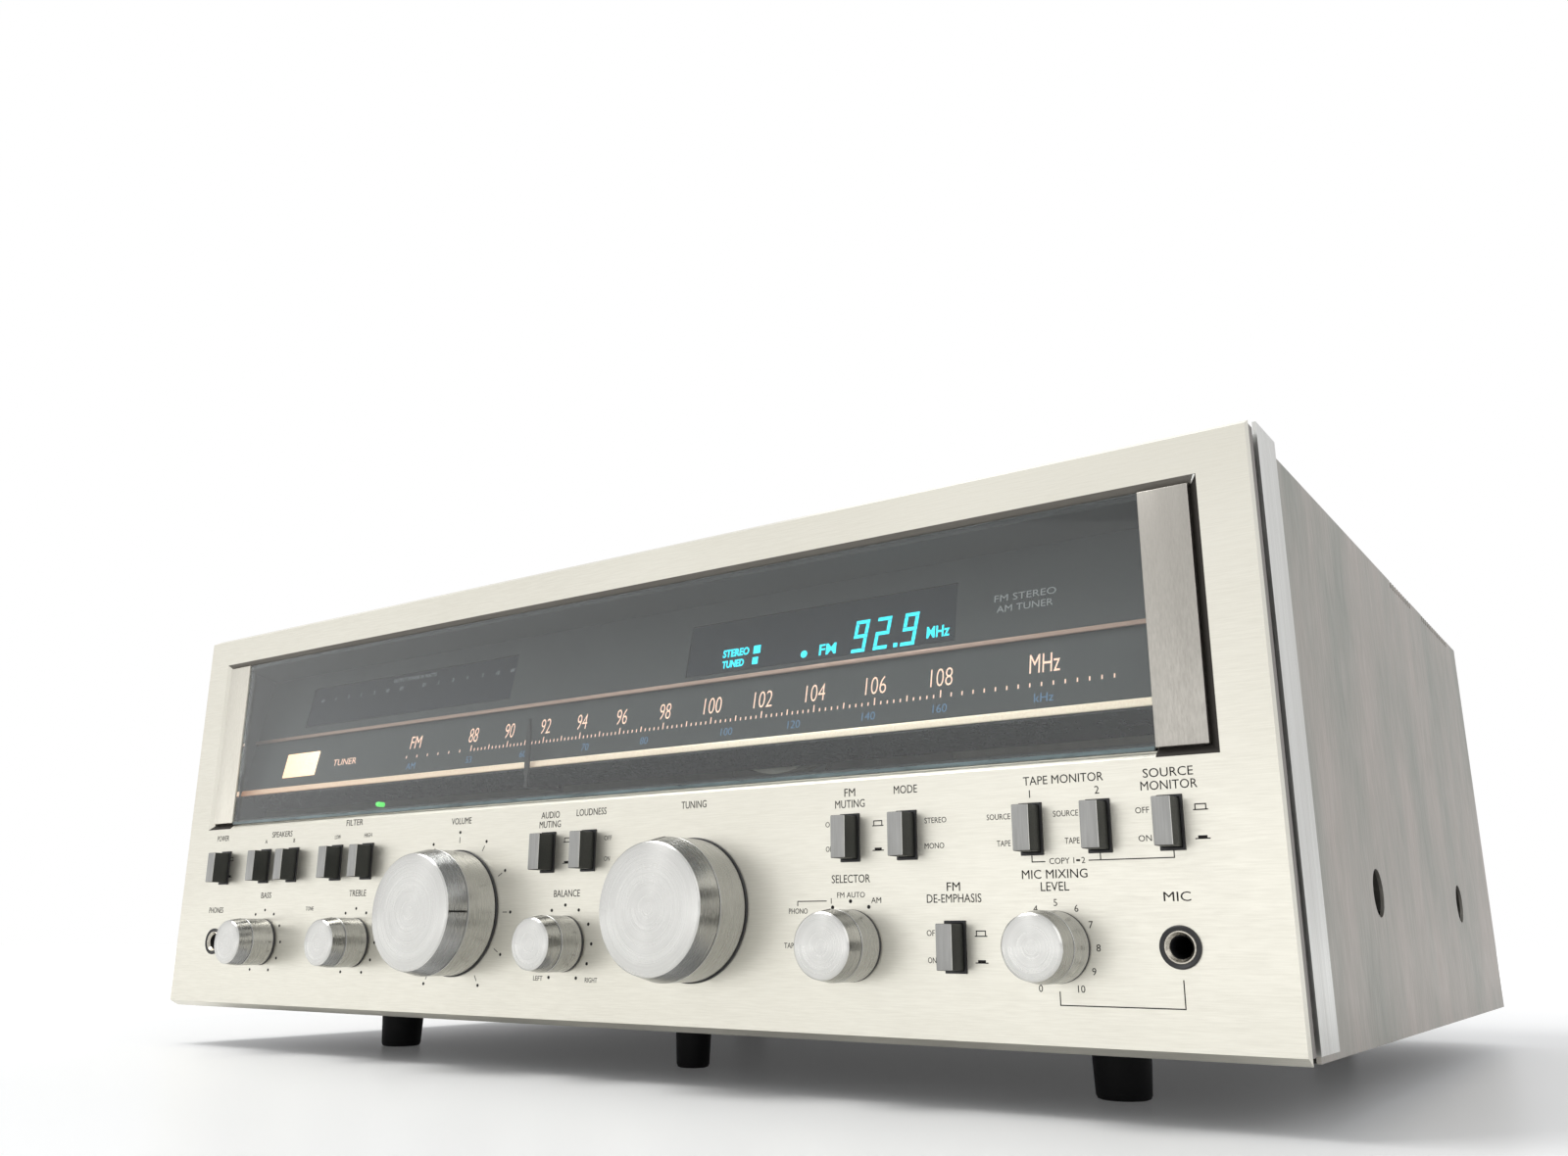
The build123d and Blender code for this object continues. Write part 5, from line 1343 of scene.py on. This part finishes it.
# ---- back -------------------------------------------------------------------------------
@dataclass
class BackFittings:
    """Terminals, sockets and print of the rear panel."""

    frame: PanelFrame
    screw_pitch: float = 18.0
    face: float = field(init=False)

    def __post_init__(self) -> None:
        """Reads where the rear panel's outer face is."""
        low, _ = self.frame.box_mm("speaker_terminals")
        self.face = low.y

    def bays(self, node: str, count: int) -> list[tuple[float, int, float]]:
        """Divides a CAD node into two rows of equal bays.

        Args:
            node: the CAD node's name.
            count: bays in each row.

        Returns:
            For each bay its middle across, its row from the bottom, and its middle up.
        """
        low, high = self.frame.box_mm(node)
        wide, tall = (high.x - low.x) / count, (high.z - low.z) / 4
        return [(low.x + wide * (column + 0.5), row, low.z + tall * (1 + 2 * row))
                for column in range(count) for row in range(2)]

    def plate(self, piece: Piece, node: str, thick: float, edge: float, segments: int) -> float:
        """Adds the moulded base of a fitting, over its CAD node.

        Args:
            piece: the piece to add to.
            node: the CAD node that it stands for.
            thick: how far it stands out of the rear panel.
            edge: width of its rounded edges.
            segments: faces across a rounded edge.

        Returns:
            Where the base's outer face is.
        """
        low, high = self.frame.box_mm(node)
        front = self.face + thick
        piece.block((low.x, high.x), (self.face, front), (low.z, high.z), 0, edge, segments)
        return front

    def speaker_block(self) -> None:
        """Models the clamp terminals, red and black levers in turn."""
        block = Piece("speaker_clamps", BLACK_PLASTIC, RED_PLASTIC, TURNED_STEEL)
        front = self.plate(block, "speaker_terminals", 9.0, 0.8, 3)
        for place, (x, _, z) in enumerate(self.bays("speaker_terminals", 4)):
            column = place // 2
            block.block((x - 5, x + 5), (front, front + 4.0), (z - 4, z + 7), column % 2, 0.8, 3)
            block.block((x - 4.2, x + 4.2), (front + 3.9, front + 4.0), (z + 4.2, z + 4.8), 0)
            block.turn(x, z - 7.0, [(1.6, front + 0.02), (2.5, front + 0.02), (2.5, front - 0.5),
                                    (1.6, front - 0.5)], 2, 28)
        block.make(self.frame, "chassis", "black_plastic", "speaker_terminals")

    def socket_strip(self) -> None:
        """Models the line sockets: nickel shells round white and red insulators."""
        strip = Piece("line_sockets", BLACK_PLASTIC, NICKEL, WHITE_PLASTIC, RED_PLASTIC)
        front = self.plate(strip, "phono_sockets", 2.0, 0.5, 2)
        for x, row, z in self.bays("phono_sockets", 7):
            colour = 2 if row else 3
            strip.turn(x, z, [(3.3, front), (4.15, front), (4.15, front + 8.7), (3.9, front + 9.0),
                              (3.5, front + 9.0), (3.3, front + 8.7)], 1, 40)
            strip.turn(x, z, [(1.6, front), (3.3, front), (3.3, front + 8.2), (1.6, front + 8.2)],
                       colour, 40)
            strip.turn(x, z, [(4.15, front), (6.2, front), (6.0, front + 0.5), (4.15, front + 0.5)],
                       colour, 40)
        strip.make(self.frame, "chassis", "jack_metal", "phono_sockets")

    def lettering(self) -> None:
        """Prints the captions of the back."""
        ink = Piece("rear_print", BLACK_INK)
        for text, x, z, height in (
                ("SPEAKERS", -175.0, 118.0, 3.0), ("R", -229.0, 62.5, 2.4), ("L", -121.0, 62.5, 2.4),
                ("PHONO", -80.8, 99.5, 2.2), ("AUX", -58.6, 99.5, 2.2), ("PLAY", -36.3, 99.5, 2.2),
                ("REC", -14.0, 99.5, 2.2), ("PLAY", 8.3, 99.5, 2.2), ("REC", 30.6, 99.5, 2.2),
                ("PRE OUT", 52.8, 99.5, 2.2), ("TAPE 1", -25.1, 103.8, 2.2), ("TAPE 2", 19.4, 103.8, 2.2),
                ("ANTENNA", 141.0, 132.0, 3.0), ("AM", 105.0, 96.5, 2.2), ("FM 300", 132.0, 96.5, 2.2),
                ("FM 75", 177.0, 96.5, 2.2), ("AC OUTLETS", 124.0, 60.0, 2.6), ("SWITCHED", 124.0, 16.0, 2.2),
                ("AC INLET", 216.0, 50.0, 2.6)):
            ink.words(text, x, z, height, depth=0.05, y=self.face, back=True)
        ink.make(self.frame, "chassis", "rear_steel")

    def antenna_board(self) -> None:
        """Models the aerial board with slotted screws and a threaded socket."""
        low, _ = self.frame.box_mm("antenna_terminals")
        _, z, _ = self.frame.middle("antenna_terminals")
        board = Piece("aerial_terminals", BLACK_PLASTIC, NICKEL, WHITE_PLASTIC)
        front = self.plate(board, "antenna_terminals", 6.0, 0.6, 2)
        for column in range(4):
            x = low.x + self.screw_pitch * (column + 0.5)
            board.turn(x, z, [(0.0, front), (3.2, front), (3.2, front + 4.2), (2.8, front + 5.0),
                              (0.0, front + 5.0)], 1, 36)
            # Painted shade: the screw's slot is a flat black bar on the head.
            board.block((x - 2.6, x + 2.6), (front + 4.96, front + 5.0), (z - 0.35, z + 0.35), 0)
            board.block((x - 5.2, x + 5.2), (front, front + 0.8), (z - 4.8, z + 4.8), 1, 0.3)
        x = low.x + self.screw_pitch * 4.5
        end = self.face + 10.0
        thread = [(2.9, front)]
        for step in range(5):
            y = front + 0.7 * step
            thread += [(4.7, y + 0.1), (4.35, y + 0.45)]
        thread += [(4.5, end), (2.9, end)]
        board.turn(x, z, thread, 1, 40)
        board.turn(x, z, [(1.4, front), (2.9, front), (2.9, end - 0.4), (1.4, end - 0.4)], 2, 32)
        board.make(self.frame, "chassis", "black_plastic", "antenna_terminals")

    def build(self) -> None:
        """Models the back's fittings."""
        self.speaker_block()
        self.socket_strip()
        self.antenna_board()
        self.lettering()


# ---- studio -----------------------------------------------------------------------------
@dataclass(frozen=True)
class Lamp:
    """One soft lamp: its name, its place and size in metres, and its power in watts."""

    name: str
    place: tuple[float, float, float]
    size: tuple[float, float]
    watts: float


@dataclass
class Studio:
    """White room, soft lamps and the camera."""

    lens_mm: float = 29.47
    camera_place: tuple[float, float, float] = (0.3535, -0.55065, 0.0499)
    yaw_left: float = 35.09
    pitch_up: float = 15.62
    roll: float = 0.118
    room_light: float = 0.62
    room_gloss: float = 0.6
    floor_half: float = 6.0
    lamp_aim: tuple[float, float, float] = (0.0, 0.0, 0.08)
    # How much the floor is lifted towards white near the receiver and far from it, and where.
    floor_lift: tuple[float, float] = (0.06, 0.5)
    lift_reach: tuple[float, float] = (0.45, 1.4)
    lamps: tuple[Lamp, ...] = (
        Lamp("key_lamp", (-0.8, -0.8, 1.8), (1.0, 1.0), 22.0),
        Lamp("front_softbox", (-1.3, -2.0, 0.42), (3.4, 1.0), 2.7),
        Lamp("low_softbox", (0.05, -1.6, 0.1), (1.2, 0.4), 0.5),
        Lamp("back_softbox", (-0.3, 1.5, 1.3), (1.6, 1.6), 5.0),
        Lamp("fill_lamp", (1.5, -0.9, 0.9), (1.2, 1.2), 4.0))

    def camera(self) -> None:
        """Sets the camera low in front of the right-hand end."""
        data = bpy.data.cameras.new("camera")
        data.lens = self.lens_mm
        data.sensor_width = 36.0
        data.clip_start = 0.01
        camera = bpy.data.objects.new("camera", data)
        turn = (Matrix.Rotation(math.radians(self.yaw_left), 4, "Z")
                @ Matrix.Rotation(math.radians(90.0 + self.pitch_up), 4, "X")
                @ Matrix.Rotation(math.radians(self.roll), 4, "Z"))
        camera.matrix_world = Matrix.Translation(self.camera_place) @ turn
        bpy.context.scene.collection.objects.link(camera)
        bpy.context.scene.camera = camera

    def seen_share(self, tree: bpy.types.NodeTree, gloss: float) -> bpy.types.NodeSocket:
        """Tells rays that see the room from rays that it lights.

        Args:
            tree: the node tree to add to.
            gloss: share given to rays mirrored by the receiver.

        Returns:
            1 where the room is seen straight or through glass, and 0 for its light.
        """
        path = add_node(tree, "ShaderNodeLightPath")
        mirrored = add_node(tree, "ShaderNodeMath", {0: path.outputs["Is Glossy Ray"], 1: gloss},
                            operation="MULTIPLY")
        first = add_node(tree, "ShaderNodeMath", {
            0: path.outputs["Is Camera Ray"], 1: mirrored.outputs[0]}, operation="MAXIMUM")
        both = add_node(tree, "ShaderNodeMath", {
            0: first.outputs[0], 1: path.outputs["Is Transmission Ray"]}, operation="MAXIMUM")
        return both.outputs[0]

    def room(self) -> None:
        """Lights the world: white where it shows, softer where it lights."""
        world = bpy.data.worlds.new("white_room")
        bpy.context.scene.world = world
        world.use_nodes = True
        tree = world.node_tree
        tree.nodes.clear()
        light = add_node(tree, "ShaderNodeBackground", {0: linear("F4F6FA"), 1: self.room_light})
        shown = add_node(tree, "ShaderNodeBackground", {0: (1.0, 1.0, 1.0, 1.0), 1: 1.0})
        mixed = add_node(tree, "ShaderNodeMixShader", {
            0: self.seen_share(tree, self.room_gloss), 1: light.outputs[0], 2: shown.outputs[0]})
        add_node(tree, "ShaderNodeOutputWorld", {0: mixed.outputs[0]})

    def hang(self, lamp: Lamp) -> None:
        """Hangs one soft lamp that faces the receiver."""
        data = bpy.data.lights.new(lamp.name, "AREA")
        data.shape = "RECTANGLE"
        data.size, data.size_y = lamp.size
        data.energy = lamp.watts
        made = bpy.data.objects.new(lamp.name, data)
        aim = (Vector(self.lamp_aim) - Vector(lamp.place)).to_track_quat("-Z", "Y")
        made.matrix_world = Matrix.Translation(lamp.place) @ aim.to_matrix().to_4x4()
        bpy.context.scene.collection.objects.link(made)

    def floor(self) -> None:
        """Lays the white floor, which keeps the receiver's shadow."""
        mesh = bmesh.new()
        bmesh.ops.create_grid(mesh, x_segments=1, y_segments=1, size=self.floor_half)
        data = bpy.data.meshes.new("studio_floor")
        mesh.to_mesh(data)
        mesh.free()
        material, tree = blank_material("white_laminate")
        place = add_node(tree, "ShaderNodeTexCoord")
        mottle = add_node(tree, "ShaderNodeTexNoise", {"Vector": place.outputs["Object"], "Scale": 3.0})
        tint = mix_colours(tree, mottle.outputs[0], linear("F2F2F0"), linear("F6F6F5"))
        away = add_node(tree, "ShaderNodeVectorMath", {0: place.outputs["Object"]}, operation="LENGTH")
        far = add_node(tree, "ShaderNodeMapRange", {
            0: away.outputs["Value"], 1: self.lift_reach[0], 2: self.lift_reach[1],
            3: self.floor_lift[0], 4: self.floor_lift[1]})
        lift = add_node(tree, "ShaderNodeMath", {0: self.seen_share(tree, 1.0), 1: far.outputs[0]},
                        operation="MULTIPLY")
        board = add_node(tree, "ShaderNodeBsdfPrincipled", {
            "Base Color": tint, "Roughness": 0.35, "Emission Color": (1.0, 1.0, 1.0, 1.0),
            "Emission Strength": lift.outputs[0]})
        add_node(tree, "ShaderNodeOutputMaterial", {"Surface": board.outputs[0]})
        data.materials.append(material)
        floor = bpy.data.objects.new("studio_floor", data)
        bpy.context.scene.collection.objects.link(floor)

    def build(self) -> None:
        """Sets up the view, the room, the floor and the lamps."""
        bpy.context.scene.view_settings.view_transform = "Standard"
        self.camera()
        self.room()
        self.floor()
        for lamp in self.lamps:
            self.hang(lamp)


def main() -> None:
    """Loads the frame, dresses it and adds every modelled piece."""
    logging.basicConfig(level=logging.INFO, format="%(name)s: %(message)s")
    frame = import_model()
    panel = PanelFrame()
    for group in Group:
        log.info("%s: %d nodes dressed", group.name, group.dress(frame["nodes"]))
    Studio().build()
    Knobs(panel).build()
    Buttons(panel, tuple(name for name in frame["nodes"]
                         if name.startswith("button_") and name != "button_frames")).build()
    Jacks(panel).build()
    PanelPrint(panel).build()
    WindowTrim(panel).build()
    RailTrim(panel).build()
    Dial(panel).build()
    Feet(panel).build()
    Screws(panel).build()
    BackFittings(panel).build()


if __name__ == "__main__":
    main()
